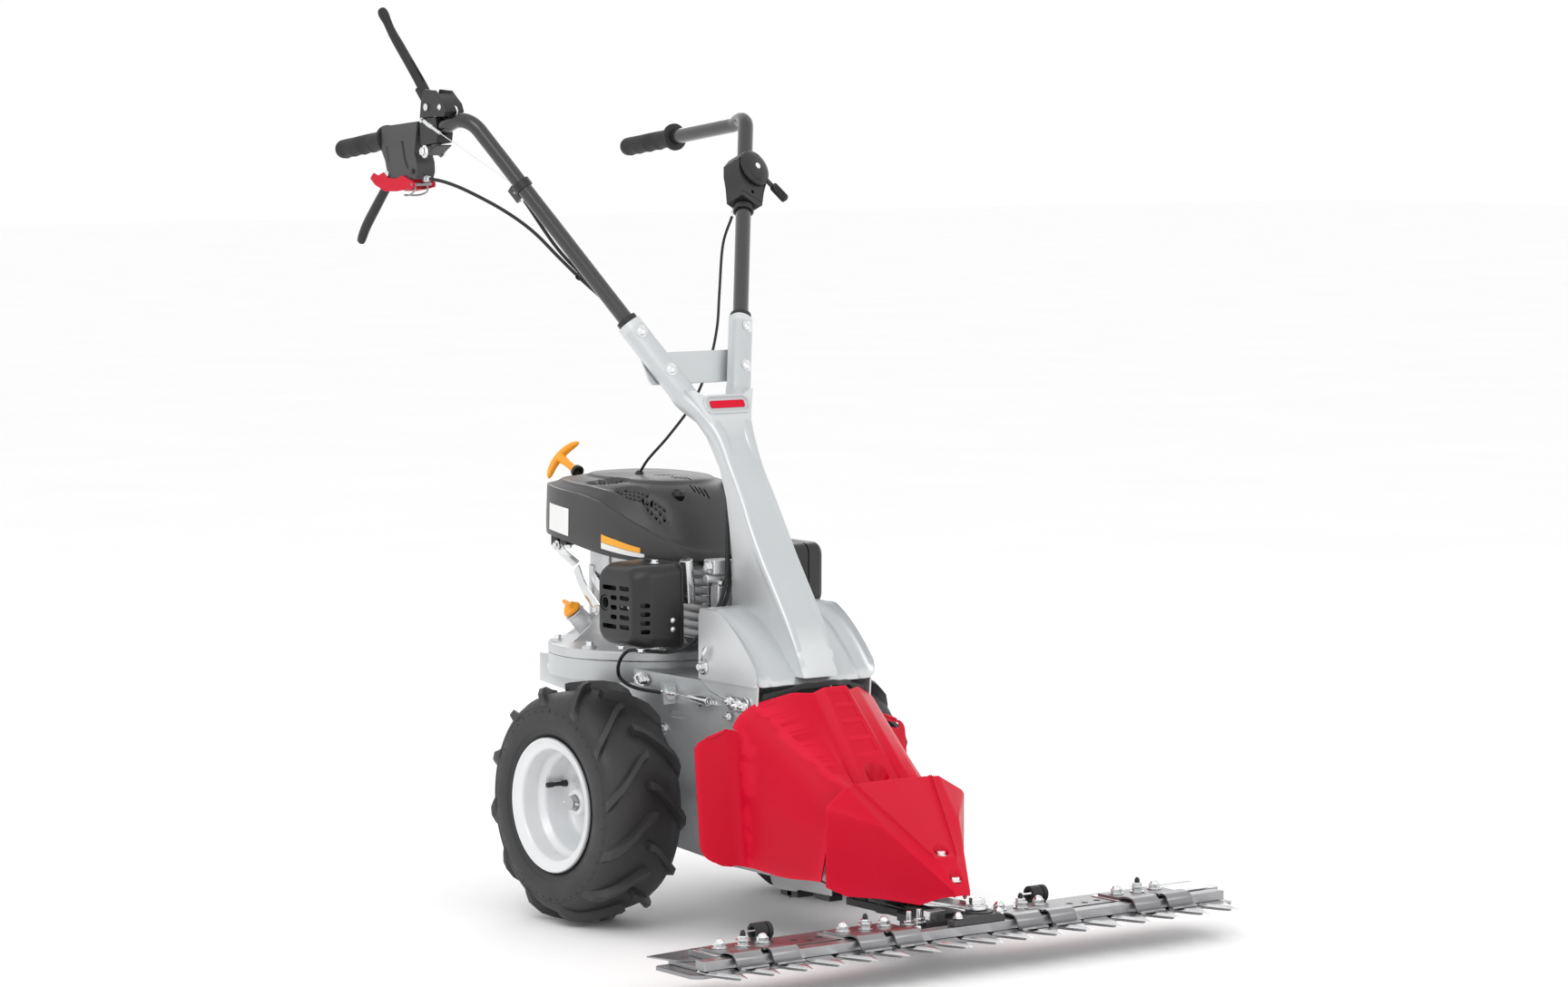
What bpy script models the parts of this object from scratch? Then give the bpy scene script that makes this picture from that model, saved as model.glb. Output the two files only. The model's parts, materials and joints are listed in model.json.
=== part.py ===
"""Walk-behind brush mower with a reciprocating cutter bar, as separate sub-parts.

Metres, +Z up. The machine faces -Y, so +X is the driver's left. Every sub-part is laid out
in the axle frame (x = 0 on the centreline, y = 0 on the wheel axle, z = 0 on the ground),
and the empty "machine" shifts that frame so that the whole box stands over the origin.
"""
import math

import bmesh
import bpy
from mathutils import Matrix, Vector

# Driving dimensions
AXLE_SHIFT_Y = 0.0589
GAP = 0.0004
SHEET = 0.0025
RIGHT, LEFT = -1, 1

AXLE_Z = 0.165
AXLE_R = 0.010
WHEEL_X = 0.195
AXLE_HALF = 0.2245
AXLE_PIN_X = 0.2210
WHEEL_SEGMENTS = 18
TYRE_SEGMENTS = 32
LUG_HEIGHT = 0.012

TUBE_R = 0.011
TUBE_FOOT = Vector((0.0559, -0.0104, 0.7375))
TUBE_BEND = Vector((0.2401, 0.2228, 1.1030))
GRIP_LINE = Vector((0.249, 0.262, 1.0855))
TUBE_TIP = Vector((0.249, 0.5300, 1.0515))
GRIP_Y = 0.411

ENGINE_Y = 0.130
CRANK_R = 0.0125
CHASSIS_TOP = 0.338
CHASSIS_HALF = 0.0965
FLANGE_R = 0.142
SEAT_FOOT = 0.318
SEAT_TOP = 0.347
SHROUD_BASE = 0.512
SHROUD_Y = 0.122
SHROUD_HALF_X, SHROUD_HALF_Y = 0.127, 0.157
GEARBOX_SHAFT_Y = -0.085
KNIFE_SHAFT_Z = 0.125
BELT_Z = 0.301

TOOTH_PITCH = 0.0508
TEETH = 17
KNIFE_STROKE = 0.0508
KNIFE_TIP_Y = -0.660
ARM_PIVOT_Y = -0.425
PIN_Y = -0.575
ARM_Z = 0.0745
HOLD_DOWNS = (-0.338, -0.1435, 0.115, 0.318)

BRACKET_X = -0.249
CLUTCH_PIVOT = Vector((BRACKET_X, 0.2876, 1.1118))
DRIVE_PIVOT = Vector((BRACKET_X, 0.392, 1.0180))
CATCH_PIVOT = Vector((BRACKET_X, 0.3230, 1.0040))
LEVER_SLOT_HALF = 0.0065
LEVER_PIN_R = 0.0030
THROTTLE_Z = 1.0150

OIL_NECK = Vector((-0.0985, 0.1705, 0.4035))
OIL_AXIS = Vector((-0.62, 0.20, 0.76)).normalized()
STARTER_ROOT = Vector((-0.030, 0.262, 0.5925))
STARTER_AXIS = Vector((0, 0.93, 0.37)).normalized()
ADJUSTER = Vector((-0.1004, -0.1418, 0.3576))

COLORS = {
    "silver_paint": ((0.58, 0.60, 0.61), 0.38, 0.6),
    "red_plastic": ((0.62, 0.01, 0.04), 0.35, 0.0),
    "black_plastic": ((0.03, 0.03, 0.033), 0.45, 0.0),
    "grey_plastic": ((0.09, 0.09, 0.095), 0.4, 0.0),
    "black_paint": ((0.015, 0.015, 0.016), 0.28, 0.2),
    "rubber": ((0.02, 0.02, 0.021), 0.75, 0.0),
    "tyre": ((0.025, 0.025, 0.027), 0.7, 0.0),
    "zinc": ((0.72, 0.73, 0.74), 0.3, 0.9),
    "cast_aluminium": ((0.55, 0.56, 0.57), 0.45, 0.8),
    "dark_steel": ((0.12, 0.12, 0.125), 0.4, 0.7),
    "blade_steel": ((0.35, 0.35, 0.36), 0.3, 0.9),
    "orange_plastic": ((0.95, 0.38, 0.02), 0.4, 0.0),
    "cast_iron": ((0.03, 0.03, 0.032), 0.5, 0.3),
}


def clear_scene():
    for old in list(bpy.data.objects):
        bpy.data.objects.remove(old)


def material(slot):
    found = bpy.data.materials.get(slot)
    if found:
        return found
    made = bpy.data.materials.new(slot)
    made.use_nodes = True
    shader = made.node_tree.nodes["Principled BSDF"]
    color, roughness, metallic = COLORS[slot]
    shader.inputs["Base Color"].default_value = (*color, 1)
    shader.inputs["Roughness"].default_value = roughness
    shader.inputs["Metallic"].default_value = metallic
    return made


def place(obj, slot, origin):
    obj.data.materials.append(material(slot))
    bpy.context.scene.collection.objects.link(obj)
    obj.parent = machine
    obj.location = origin
    return obj


def solid(name, bm, slot, origin=(0, 0, 0), sharp=35):
    """Makes the object of a closed mesh drawn in the axle frame, with its origin at origin."""
    bmesh.ops.recalc_face_normals(bm, faces=bm.faces)
    bmesh.ops.translate(bm, verts=bm.verts, vec=-Vector(origin))
    mesh = bpy.data.meshes.new(name)
    bm.to_mesh(mesh)
    bm.free()
    mesh.shade_smooth()
    mesh.set_sharp_from_angle(angle=math.radians(sharp))
    return place(bpy.data.objects.new(name, mesh), slot, Vector(origin))


def boolean(obj, bm, operation):
    """Cuts bm out of obj, or joins it on, with a hidden helper object."""
    bmesh.ops.recalc_face_normals(bm, faces=bm.faces)
    mesh = bpy.data.meshes.new("helper")
    bm.to_mesh(mesh)
    bm.free()
    helper = bpy.data.objects.new("helper_" + obj.name, mesh)
    bpy.context.scene.collection.objects.link(helper)
    helper.parent = machine
    helper.hide_render = True
    helper.display_type = "WIRE"
    step = obj.modifiers.new(operation.lower(), "BOOLEAN")
    step.operation = operation
    step.object = helper
    return obj


def cut(obj, *tools):
    for tool in tools:
        boolean(obj, tool, "DIFFERENCE")
    return obj


def weld(obj, *tools):
    for tool in tools:
        boolean(obj, tool, "UNION")
    return obj


def solidify(obj, thickness=SHEET):
    step = obj.modifiers.new("wall", "SOLIDIFY")
    step.thickness = thickness
    step.offset = -1
    step.use_even_offset = True
    return obj


def rounded(obj, width):
    step = obj.modifiers.new("round", "BEVEL")
    step.width = width
    step.segments = 2


def prism(outline, axis, low, high):
    """A closed prism: a flat outline drawn across the axis, from low to high along it."""
    order = {"X": (2, 0, 1), "Y": (0, 2, 1), "Z": (0, 1, 2)}[axis]
    bm = bmesh.new()
    rings = []
    for level in (low, high):
        ring = []
        for u, v in outline:
            values = (u, v, level)
            ring.append(bm.verts.new((values[order[0]], values[order[1]], values[order[2]])))
        rings.append(ring)
    for ring in rings:
        bm.faces.new(ring)
    count = len(outline)
    for i in range(count):
        j = (i + 1) % count
        bm.faces.new((rings[0][i], rings[0][j], rings[1][j], rings[1][i]))
    return bm


def box(low, high):
    outline = [(low[0], low[1]), (high[0], low[1]), (high[0], high[1]), (low[0], high[1])]
    return prism(outline, "Z", low[2], high[2])


def turn_to(axis, centre):
    """The matrix that lays a shape turned about +Z along the axis, at the centre."""
    turn = Vector((0, 0, 1)).rotation_difference(Vector(axis).normalized()).to_matrix().to_4x4()
    return Matrix.Translation(Vector(centre)) @ turn


def revolve(profile, segments, axis=(0, 0, 1), centre=(0, 0, 0), wave=None):
    """Turns (along, radius) points about an axis. A profile off the axis is closed into a ring.

    wave(row, segment) may return a change of radius for one point, for treads and lobes."""
    bm = bmesh.new()
    closed = profile[0][1] > 0 and profile[-1][1] > 0
    rows = []
    for row, (along, radius) in enumerate(profile):
        if radius == 0:
            rows.append([bm.verts.new((0, 0, along))] * segments)
            continue
        ring = []
        for k in range(segments):
            angle = math.tau * k / segments
            r = radius + (wave(row, k) if wave else 0)
            ring.append(bm.verts.new((r * math.cos(angle), r * math.sin(angle), along)))
        rows.append(ring)
    pairs = list(zip(rows, rows[1:]))
    if closed:
        pairs.append((rows[-1], rows[0]))
    for low, high in pairs:
        for k in range(segments):
            n = (k + 1) % segments
            corners = []
            for vert in (low[k], low[n], high[n], high[k]):
                if vert not in corners:
                    corners.append(vert)
            bm.faces.new(corners)
    bm.transform(turn_to(axis, centre))
    return bm


def rod(start, end, radius, segments=12):
    start, end = Vector(start), Vector(end)
    length = (end - start).length
    return revolve([(0, 0), (0, radius), (length, radius), (length, 0)], segments, end - start, start)


def ring(start, end, inner, outer, segments=16):
    start, end = Vector(start), Vector(end)
    length = (end - start).length
    profile = [(0, inner), (0, outer), (length, outer), (length, inner)]
    return revolve(profile, segments, end - start, start)


def sweep(points, radii, sides=10):
    """A closed tube along the points, with its own radius at each one."""
    points = [Vector(p) for p in points]
    if isinstance(radii, float):
        radii = [radii] * len(points)
    bm = bmesh.new()
    rings = []
    side = None
    for i, point in enumerate(points):
        ahead = points[min(i + 1, len(points) - 1)] - points[max(i - 1, 0)]
        ahead.normalize()
        if side is None:
            side = ahead.orthogonal().normalized()
        side = (side - ahead * side.dot(ahead)).normalized()
        up = ahead.cross(side)
        ring_verts = []
        for k in range(sides):
            angle = math.tau * k / sides
            offset = side * math.cos(angle) + up * math.sin(angle)
            ring_verts.append(bm.verts.new(point + offset * radii[i]))
        rings.append(ring_verts)
    for low, high in zip(rings, rings[1:]):
        for k in range(sides):
            n = (k + 1) % sides
            bm.faces.new((low[k], low[n], high[n], high[k]))
    bm.faces.new(rings[0])
    bm.faces.new(rings[-1])
    return bm


def pipe(points, radius, wall, sides):
    """A tube along the points, open at both ends."""
    outer, inner = sweep(points, radius, sides), sweep(points, radius - wall, sides)
    bm = bmesh.new()
    for skin in (outer, inner):
        mesh = bpy.data.meshes.new("skin")
        skin.to_mesh(mesh)
        skin.free()
        bm.from_mesh(mesh)
        bpy.data.meshes.remove(mesh)
    bmesh.ops.delete(bm, geom=[f for f in bm.faces if len(f.verts) == sides], context="FACES_ONLY")
    bm.verts.ensure_lookup_table()
    half = len(bm.verts) // 2
    for start in (0, half - sides):
        for k in range(sides):
            n = (k + 1) % sides
            a, b = start + k, start + n
            bm.faces.new((bm.verts[a], bm.verts[b], bm.verts[half + b], bm.verts[half + a]))
    return bm


def filleted(points, radius, steps=4):
    """The points with each inner corner replaced by an arc."""
    points = [Vector(p) for p in points]
    path = [points[0]]
    for before, corner, after in zip(points, points[1:], points[2:]):
        back, ahead = (before - corner).normalized(), (after - corner).normalized()
        half = back.angle(ahead) / 2
        reach = min(radius / math.tan(half), (after - corner).length * 0.7)
        bend = reach * math.tan(half)
        centre = corner + (back + ahead).normalized() * (bend / math.sin(half))
        first, last = corner + back * reach - centre, corner + ahead * reach - centre
        for k in range(steps + 1):
            path.append(centre + first.slerp(last, k / steps).normalized() * bend)
    path.append(points[-1])
    return path


def smooth_route(points, count):
    """Points on a Catmull-Rom curve through the given ones."""
    knots = [Vector(p) for p in points]
    knots = [knots[0] * 2 - knots[1]] + knots + [knots[-1] * 2 - knots[-2]]
    spans = len(knots) - 3
    route = []
    for i in range(count):
        place_on = i / (count - 1) * spans
        k = min(int(place_on), spans - 1)
        t = place_on - k
        a, b, c, d = knots[k:k + 4]
        route.append(0.5 * (2 * b + (c - a) * t + (2 * a - 5 * b + 4 * c - d) * t ** 2
                            + (3 * b - a - 3 * c + d) * t ** 3))
    return route


def cable(name, points, radius=0.0025, count=34):
    curve = bpy.data.curves.new(name, "CURVE")
    curve.dimensions = "3D"
    curve.bevel_depth = radius
    curve.bevel_resolution = 2
    curve.render_resolution_u = 0
    curve.use_fill_caps = True
    spline = curve.splines.new("POLY")
    route = smooth_route(points, count)
    spline.points.add(len(route) - 1)
    for point, at in zip(spline.points, route):
        point.co = (*at, 1)
    return place(bpy.data.objects.new(name, curve), "rubber", (0, 0, 0))


def shell_from_faces(name, points, faces, slot, thickness):
    """A thin shell of a half given by points at x <= 0 and its mirror image."""
    bm = bmesh.new()
    for flip in (1, -1):
        verts = [bm.verts.new((flip * x, y, z)) for x, y, z in points]
        for face in faces:
            corners = [verts[i] for i in face]
            bm.faces.new(corners if flip == 1 else corners[::-1])
    bmesh.ops.remove_doubles(bm, verts=bm.verts, dist=0.00001)
    bmesh.ops.triangulate(bm, faces=bm.faces)
    return solidify(solid(name, bm, slot, sharp=20), thickness)


def on_side(point, side):
    return Vector((point[0] * side, point[1], point[2]))


def tube_frame(side):
    """The handlebar tube's direction and the outward normal of the fork's front face."""
    along = (on_side(TUBE_BEND, side) - on_side(TUBE_FOOT, side)).normalized()
    front = Vector((0, -1, 0))
    front = (front - along * front.dot(along)).normalized()
    return along, front


# Wheels and axle

def make_tyre(name, side):
    outer = [(0.0537, 0.0790), (0.0537, 0.0925), (0.0625, 0.106), (0.0610, 0.136)]
    tread = [(0.0550, 0.147), (0.0300, 0.153)]
    inner = [(0.0300, 0.143), (0.0500, 0.120), (0.0420, 0.0790)]
    half = outer + tread
    profile = [(-x, r) for x, r in half] + [(0, 0.153)] + half[::-1]
    profile += inner[::-1] + [(-x, r) for x, r in inner]
    first, second = (4, 5), (7, 8)

    def lugs(row, segment):
        if row in first:
            return LUG_HEIGHT * (segment % 2)
        if row in second:
            return LUG_HEIGHT * ((segment + 1) % 2)
        return 0

    centre = (side * WHEEL_X, 0, AXLE_Z)
    bm = revolve(profile, TYRE_SEGMENTS, (1, 0, 0), centre, lugs)
    bmesh.ops.triangulate(bm, faces=bm.faces)
    solid(name, bm, "tyre", centre)


def make_rim(name, side):
    flange_in = [(-0.0565, 0.0900), (-0.0540, 0.0900), (-0.0540, 0.0785), (-0.0345, 0.0760), (-0.0265, 0.0680)]
    flange_out = [(0.0205, 0.0680), (0.0285, 0.0760), (0.0540, 0.0785), (0.0540, 0.0900), (0.0615, 0.0915)]
    dish = [(0.0615, 0.0885), (0.0570, 0.0755), (0.0300, 0.0730), (0.0220, 0.0650), (-0.0195, 0.0650)]
    hub_r = 0.018
    bore = AXLE_R + GAP
    hub = [(-0.0195, hub_r), (0.0205, hub_r), (0.0205, bore), (-0.0645, bore), (-0.0645, hub_r)]
    back = [(-0.0240, hub_r), (-0.0240, 0.0640), (-0.0360, 0.0730), (-0.0565, 0.0760)]
    centre = (side * WHEEL_X, 0, AXLE_Z)
    bm = revolve(flange_in + flange_out + dish + hub + back, WHEEL_SEGMENTS, (side, 0, 0), centre)
    solid(name, bm, "silver_paint", centre)


def make_axle():
    bar = rod((-AXLE_HALF, 0, AXLE_Z), (AXLE_HALF, 0, AXLE_Z), AXLE_R, 14)
    axle = solid("axle", bar, "dark_steel", (0, 0, AXLE_Z))
    for side in (RIGHT, LEFT):
        x = side * AXLE_PIN_X
        cut(axle, rod((x, -0.02, AXLE_Z), (x, 0.02, AXLE_Z), 0.0020 + GAP, 8))
        pin = rod((x, -0.017, AXLE_Z), (x, 0.017, AXLE_Z), 0.0020, 8)
        solid("axle_pin_right" if side == RIGHT else "axle_pin_left", pin, "black_paint", (x, 0, AXLE_Z))


# Frame, mast and handlebars

def make_chassis():
    outline = [(0.262, CHASSIS_TOP), (0.262, 0.298), (0.130, 0.283), (0.075, 0.200), (0.055, 0.112),
               (-0.200, 0.092), (-0.435, 0.090), (-0.445, 0.120), (-0.420, 0.140), (-0.280, 0.255),
               (-0.245, 0.300), (-0.150, 0.325), (-0.128, CHASSIS_TOP)]
    frame = solid("chassis_frame", prism(outline, "X", -CHASSIS_HALF, CHASSIS_HALF), "silver_paint")
    inside = [(y, z - SHEET) for y, z in outline if z > 0.13]
    lowest = 0.060
    hollow = [(0.30, CHASSIS_TOP - SHEET), (0.30, lowest), (-0.50, lowest), (-0.50, 0.1175), (-0.445, 0.1175)]
    hollow += [p for p in inside if p[0] < -0.13] + [(-0.128, CHASSIS_TOP - SHEET)]
    cut(frame, prism(hollow, "X", -CHASSIS_HALF + SHEET, CHASSIS_HALF - SHEET))
    cut(frame, rod((-0.2, 0, AXLE_Z), (0.2, 0, AXLE_Z), 0.022, 16))
    cut(frame, rod((0, ENGINE_Y, 0.30), (0, ENGINE_Y, 0.36), 0.030, 20))
    under = SEAT_TOP - SHEET
    seat = [(under, 0.060), (SEAT_TOP, 0.060), (SEAT_TOP, FLANGE_R), (SEAT_FOOT, FLANGE_R),
            (SEAT_FOOT, FLANGE_R - SHEET), (under, FLANGE_R - SHEET)]
    weld(frame, revolve(seat, 28, (0, 0, 1), (0, ENGINE_Y, 0)))


def make_mast():
    sections = [(0.350, 0.0295, -0.276, -0.113), (0.380, 0.0310, -0.263, -0.113), (0.420, 0.0315, -0.240, -0.113),
                (0.460, 0.0310, -0.213, -0.113), (0.500, 0.0315, -0.184, -0.113), (0.540, 0.0310, -0.158, -0.107),
                (0.580, 0.0285, -0.134, -0.096), (0.620, 0.0270, -0.108, -0.078), (0.660, 0.0265, -0.083, -0.048),
                (0.700, 0.0430, -0.062, -0.022), (0.728, 0.0600, -0.048, -0.008)]
    edge = 0.006
    bm = bmesh.new()
    rings = []
    for z, w, front, rear in sections:
        corners = [(w, rear), (w, front + edge), (w - edge, front), (-w + edge, front), (-w, front + edge), (-w, rear)]
        rings.append([bm.verts.new((x, y, z)) for x, y in corners])
    for low, high in zip(rings, rings[1:]):
        for k in range(len(low)):
            n = (k + 1) % len(low)
            bm.faces.new((low[k], low[n], high[n], high[k]))
    bm.faces.new(rings[-1])
    mast = solidify(solid("mast", bm, "silver_paint", sharp=20))
    skirt_half = 0.1000
    side = [(-0.130, 0.3405), (-0.130, 0.436), (-0.150, 0.431), (-0.190, 0.411), (-0.228, 0.379), (-0.262, 0.3405)]
    inner = [(-0.100, 0.300), (-0.100, 0.4335), (-0.150, 0.4283), (-0.189, 0.4085), (-0.2265, 0.3772), (-0.278, 0.300)]
    skirt = prism(side, "X", -skirt_half, skirt_half)
    skirt_room = prism(inner, "X", -skirt_half + SHEET, skirt_half - SHEET)
    column_room = [(-0.020, -0.262), (0.020, -0.262), (0.020, -0.118), (-0.020, -0.118)]
    weld(mast, hollowed(skirt, skirt_room, prism(column_room, "Z", 0.30, 0.50)))
    for hand in (RIGHT, LEFT):
        weld(mast, fork_arm(hand))


def hollowed(outer, *rooms):
    """The mesh of a body with rooms cut out of it, worked out on temporary objects."""
    made = []
    for bm in (outer, *rooms):
        bmesh.ops.recalc_face_normals(bm, faces=bm.faces)
        mesh = bpy.data.meshes.new("temporary")
        bm.to_mesh(mesh)
        bm.free()
        obj = bpy.data.objects.new("temporary", mesh)
        bpy.context.scene.collection.objects.link(obj)
        made.append(obj)
    for room in made[1:]:
        step = made[0].modifiers.new("room", "BOOLEAN")
        step.object = room
    view = bpy.context.evaluated_depsgraph_get()
    result = bmesh.new()
    result.from_mesh(made[0].evaluated_get(view).to_mesh())
    for obj in made:
        bpy.data.objects.remove(obj)
    return result


def fork_arm(side):
    """The half channel that holds one handlebar tube, open at the rear."""
    along, front = tube_frame(side)
    across = along.cross(front)
    half, face, back = 0.0170, 0.0150, -0.0060
    wall = SHEET
    outline = [(-half, back), (-half, face), (half, face), (half, back),
               (half - wall, back), (half - wall, face - wall), (-half + wall, face - wall), (-half + wall, back)]
    bm = prism(outline, "Z", -0.031, 0.100)
    turn = Matrix((across, front, along)).transposed().to_4x4()
    bm.transform(Matrix.Translation(on_side(TUBE_FOOT, side)) @ turn)
    return bm


def make_cross_plate():
    slope = Vector((0, 0.638, 1.0)).normalized()
    normal = Vector((0, -1.0, 0.638)).normalized()
    half, foot, top = 0.088, 0.002, 0.052
    near, far = -0.0124, -0.0149
    bm = box((-half, far, foot), (half, near, top))
    turn = Matrix((Vector((1, 0, 0)), normal, slope)).transposed().to_4x4()
    bm.transform(Matrix.Translation((0, TUBE_FOOT.y, TUBE_FOOT.z)) @ turn)
    solid("mast_cross_plate", bm, "silver_paint")


def make_handlebar(name, side):
    corners = [on_side(p, side) for p in (TUBE_FOOT, TUBE_BEND, GRIP_LINE, TUBE_TIP)]
    solid(name, pipe(filleted(corners, 0.040), TUBE_R, 0.0025, 12), "black_paint")


def make_grip(name, side):
    along = (TUBE_TIP - GRIP_LINE).normalized()
    start = GRIP_LINE + along * ((GRIP_Y - GRIP_LINE.y) / along.y)
    bore = TUBE_R + GAP
    depth = (TUBE_TIP - start).length + GAP
    profile = [(0.131, 0), (0.131, 0.0110), (0.127, 0.0145), (0.0075, 0.0145), (0.006, 0.0200), (0, 0.0200),
               (0, bore), (depth, bore), (depth, 0)]
    solid(name, revolve(profile, 12, on_side(along, side), on_side(start, side)), "rubber")


# Controls on the handlebars

def bar_hole():
    along = (TUBE_TIP - GRIP_LINE).normalized()
    start = on_side(GRIP_LINE, RIGHT)
    along = on_side(along, RIGHT)
    return rod(start - along * 0.02, start + along * 0.20, TUBE_R + GAP, 16)


def lever_pin(pivot, half):
    across = Vector((half - 0.001, 0, 0))
    return rod(pivot - across, pivot + across, LEVER_PIN_R, 10)


def lever_hub(pivot, radius):
    across = Vector((LEVER_SLOT_HALF - GAP, 0, 0))
    return ring(pivot - across, pivot + across, LEVER_PIN_R + GAP, radius)


def make_clutch_lever():
    _, y, z = CLUTCH_PIVOT
    clamp = [(0.272, 1.066), (0.306, 1.062), (0.308, 1.096), (y + 0.012, z), (y + 0.006, z + 0.011),
             (y - 0.006, z + 0.011), (y - 0.012, z), (0.271, 1.098)]
    half = 0.0160
    bracket = solid("clutch_lever_bracket", prism(clamp, "X", BRACKET_X - half, BRACKET_X + half), "black_plastic")
    cut(bracket, bar_hole(),
        box((BRACKET_X - LEVER_SLOT_HALF, 0.25, 1.0985), (BRACKET_X + LEVER_SLOT_HALF, 0.33, 1.15)))
    weld(bracket, lever_pin(CLUTCH_PIVOT, half))
    hub = lever_hub(CLUTCH_PIVOT, 0.0095)
    lever = solid("clutch_lever", hub, "rubber", CLUTCH_PIVOT)
    shaft = [(BRACKET_X, y + 0.0042, z + 0.0050), (BRACKET_X, 0.3203, 1.1400), (BRACKET_X, 0.3696, 1.1917),
             (BRACKET_X, 0.4050, 1.2290), (BRACKET_X, 0.4300, 1.2500)]
    weld(lever, sweep(shaft, [0.0055, 0.0075, 0.0080, 0.0080, 0.0070], 10))


def make_drive_lever():
    _, y, z = DRIVE_PIVOT
    half = 0.0150
    clamp = [(0.312, 1.094), (0.312, 1.045), (0.330, 1.022), (0.352, 1.016), (y, 1.006), (0.404, 1.012),
             (0.406, 1.086)]
    housing = solid("drive_lever_housing", prism(clamp, "X", BRACKET_X - half, BRACKET_X + half), "grey_plastic")
    cut(housing, bar_hole(),
        box((BRACKET_X - LEVER_SLOT_HALF, 0.360, 0.95), (BRACKET_X + LEVER_SLOT_HALF, 0.45, 1.0365)))
    weld(housing, lever_pin(DRIVE_PIVOT, half))
    hub = lever_hub(DRIVE_PIVOT, 0.0100)
    lever = solid("drive_lever", hub, "black_plastic", DRIVE_PIVOT)
    blade = [(BRACKET_X, y + 0.0040, z - 0.0050), (BRACKET_X, 0.4120, 0.9980), (BRACKET_X, 0.4528, 0.9600),
             (BRACKET_X, 0.4750, 0.9370), (BRACKET_X, 0.4903, 0.9182)]
    weld(lever, sweep(blade, [0.0055, 0.0070, 0.0080, 0.0080, 0.0060], 8))
    _, hinge_y, hinge_z = CATCH_PIVOT
    hook = [(hinge_y - 0.006, hinge_z + 0.005), (hinge_y - 0.006, hinge_z - 0.006), (0.345, 0.9965), (0.362, 1.0000),
            (0.366, 1.0055), (0.345, 1.0068), (hinge_y + 0.010, hinge_z + 0.005)]
    outer = half - 0.001
    solid("safety_catch", prism(hook, "X", BRACKET_X - outer, BRACKET_X + outer), "red_plastic", CATCH_PIVOT)


def make_throttle():
    along, front = tube_frame(LEFT)
    centre = on_side(TUBE_FOOT, LEFT) + along * ((THROTTLE_Z - TUBE_FOOT.z) / along.z)
    lower, upper = -0.058, 0.026
    outline = [(-0.022, lower), (0.022, lower), (0.027, -0.012), (0.0275, 0.006), (0.018, 0.022), (0.0, upper + 0.002),
               (-0.018, 0.022), (-0.0275, 0.006), (-0.027, -0.012)]
    across = along.cross(front)
    turn = Matrix((across, along, front)).transposed().to_4x4()
    bm = prism(outline, "Z", -0.014, 0.020)
    bm.transform(Matrix.Translation(centre) @ turn)
    housing = solid("throttle_housing", bm, "black_plastic")
    cut(housing, rod(centre - along * 0.10, centre + along * 0.10, TUBE_R + GAP, 16))
    disc_low = centre + front * (0.020 + GAP)
    disc = revolve([(0, 0), (0, 0.0235), (0.006, 0.0235), (0.0085, 0.018), (0.0085, 0)], 20, front, disc_low)
    lever = solid("throttle_lever", disc, "black_plastic", disc_low)
    out = (Vector((1, 0, 0)) - front * front.x).normalized()
    down = Vector((0, 0, -1)) - front * -front.z
    paddle = (out * 0.90 + down.normalized() * 0.35).normalized()
    root = disc_low + front * 0.0035
    weld(lever, sweep([root + paddle * 0.018, root + paddle * 0.040, root + paddle * 0.056],
                      [0.0030, 0.0033, 0.0060], 8))


# Engine

def make_crankcase():
    base = SEAT_TOP + GAP
    bore = CRANK_R + GAP
    profile = [(base, 0.078), (base, FLANGE_R), (0.361, FLANGE_R), (0.365, 0.122), (0.375, 0.085), (0.498, 0.080),
               (0.498, bore), (0.488, bore), (0.488, 0.072)]
    case = solid("engine_crankcase", revolve(profile, 28, (0, 0, 1), (0, ENGINE_Y, 0)), "cast_aluminium")
    weld(case, sweep([(-0.062, 0.1560, 0.365), OIL_NECK], [0.014, 0.013], 12))


def make_oil_cap():
    seat = OIL_NECK + OIL_AXIS * 0.0030
    head = revolve([(0, 0), (0, 0.0135), (0.006, 0.0135), (0.008, 0.0095), (0.0115, 0.0080), (0.0115, 0)], 12,
                   OIL_AXIS, seat)
    cap = solid("oil_cap", head, "orange_plastic", seat)
    side = OIL_AXIS.cross(Vector((0, 0, 1))).normalized()
    wing = box((-0.0030, -0.0120, 0.006), (0.0030, 0.0120, 0.0210))
    turn = Matrix((OIL_AXIS.cross(side), side, OIL_AXIS)).transposed().to_4x4()
    wing.transform(Matrix.Translation(seat) @ turn)
    weld(cap, wing)


def make_cylinder():
    near, far, core, fin = -0.0800, 0.0440, 0.044, 0.056
    fins = 7
    step = (far - near) / (2 * fins - 1)
    right = []
    for k in range(fins):
        right += [(fin, near + step * 2 * k), (fin, near + step * (2 * k + 1))]
        if k < fins - 1:
            right += [(core, near + step * (2 * k + 1)), (core, near + step * (2 * k + 2))]
    outline = right + [(-x, y) for x, y in right[::-1]]
    solid("engine_cylinder", prism(outline, "Z", 0.385, 0.482), "cast_aluminium")
    solid("valve_cover", box((-0.045, -0.1000, 0.395), (0.045, near - GAP, 0.470)), "cast_aluminium")
    plug = sweep([(-0.0635, -0.0560, 0.4300), (-0.0660, -0.0600, 0.4560), (-0.0740, -0.0660, 0.4950)],
                 [0.0045, 0.0062, 0.0062], 10)
    solid("spark_plug", plug, "zinc")


def superellipse(half_x, half_y, centre_y, count, power=2.6):
    points = []
    for k in range(count):
        angle = math.tau * k / count
        c, s = math.cos(angle), math.sin(angle)
        points.append((half_x * math.copysign(abs(c) ** (2 / power), c),
                       centre_y + half_y * math.copysign(abs(s) ** (2 / power), s)))
    return points


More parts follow.
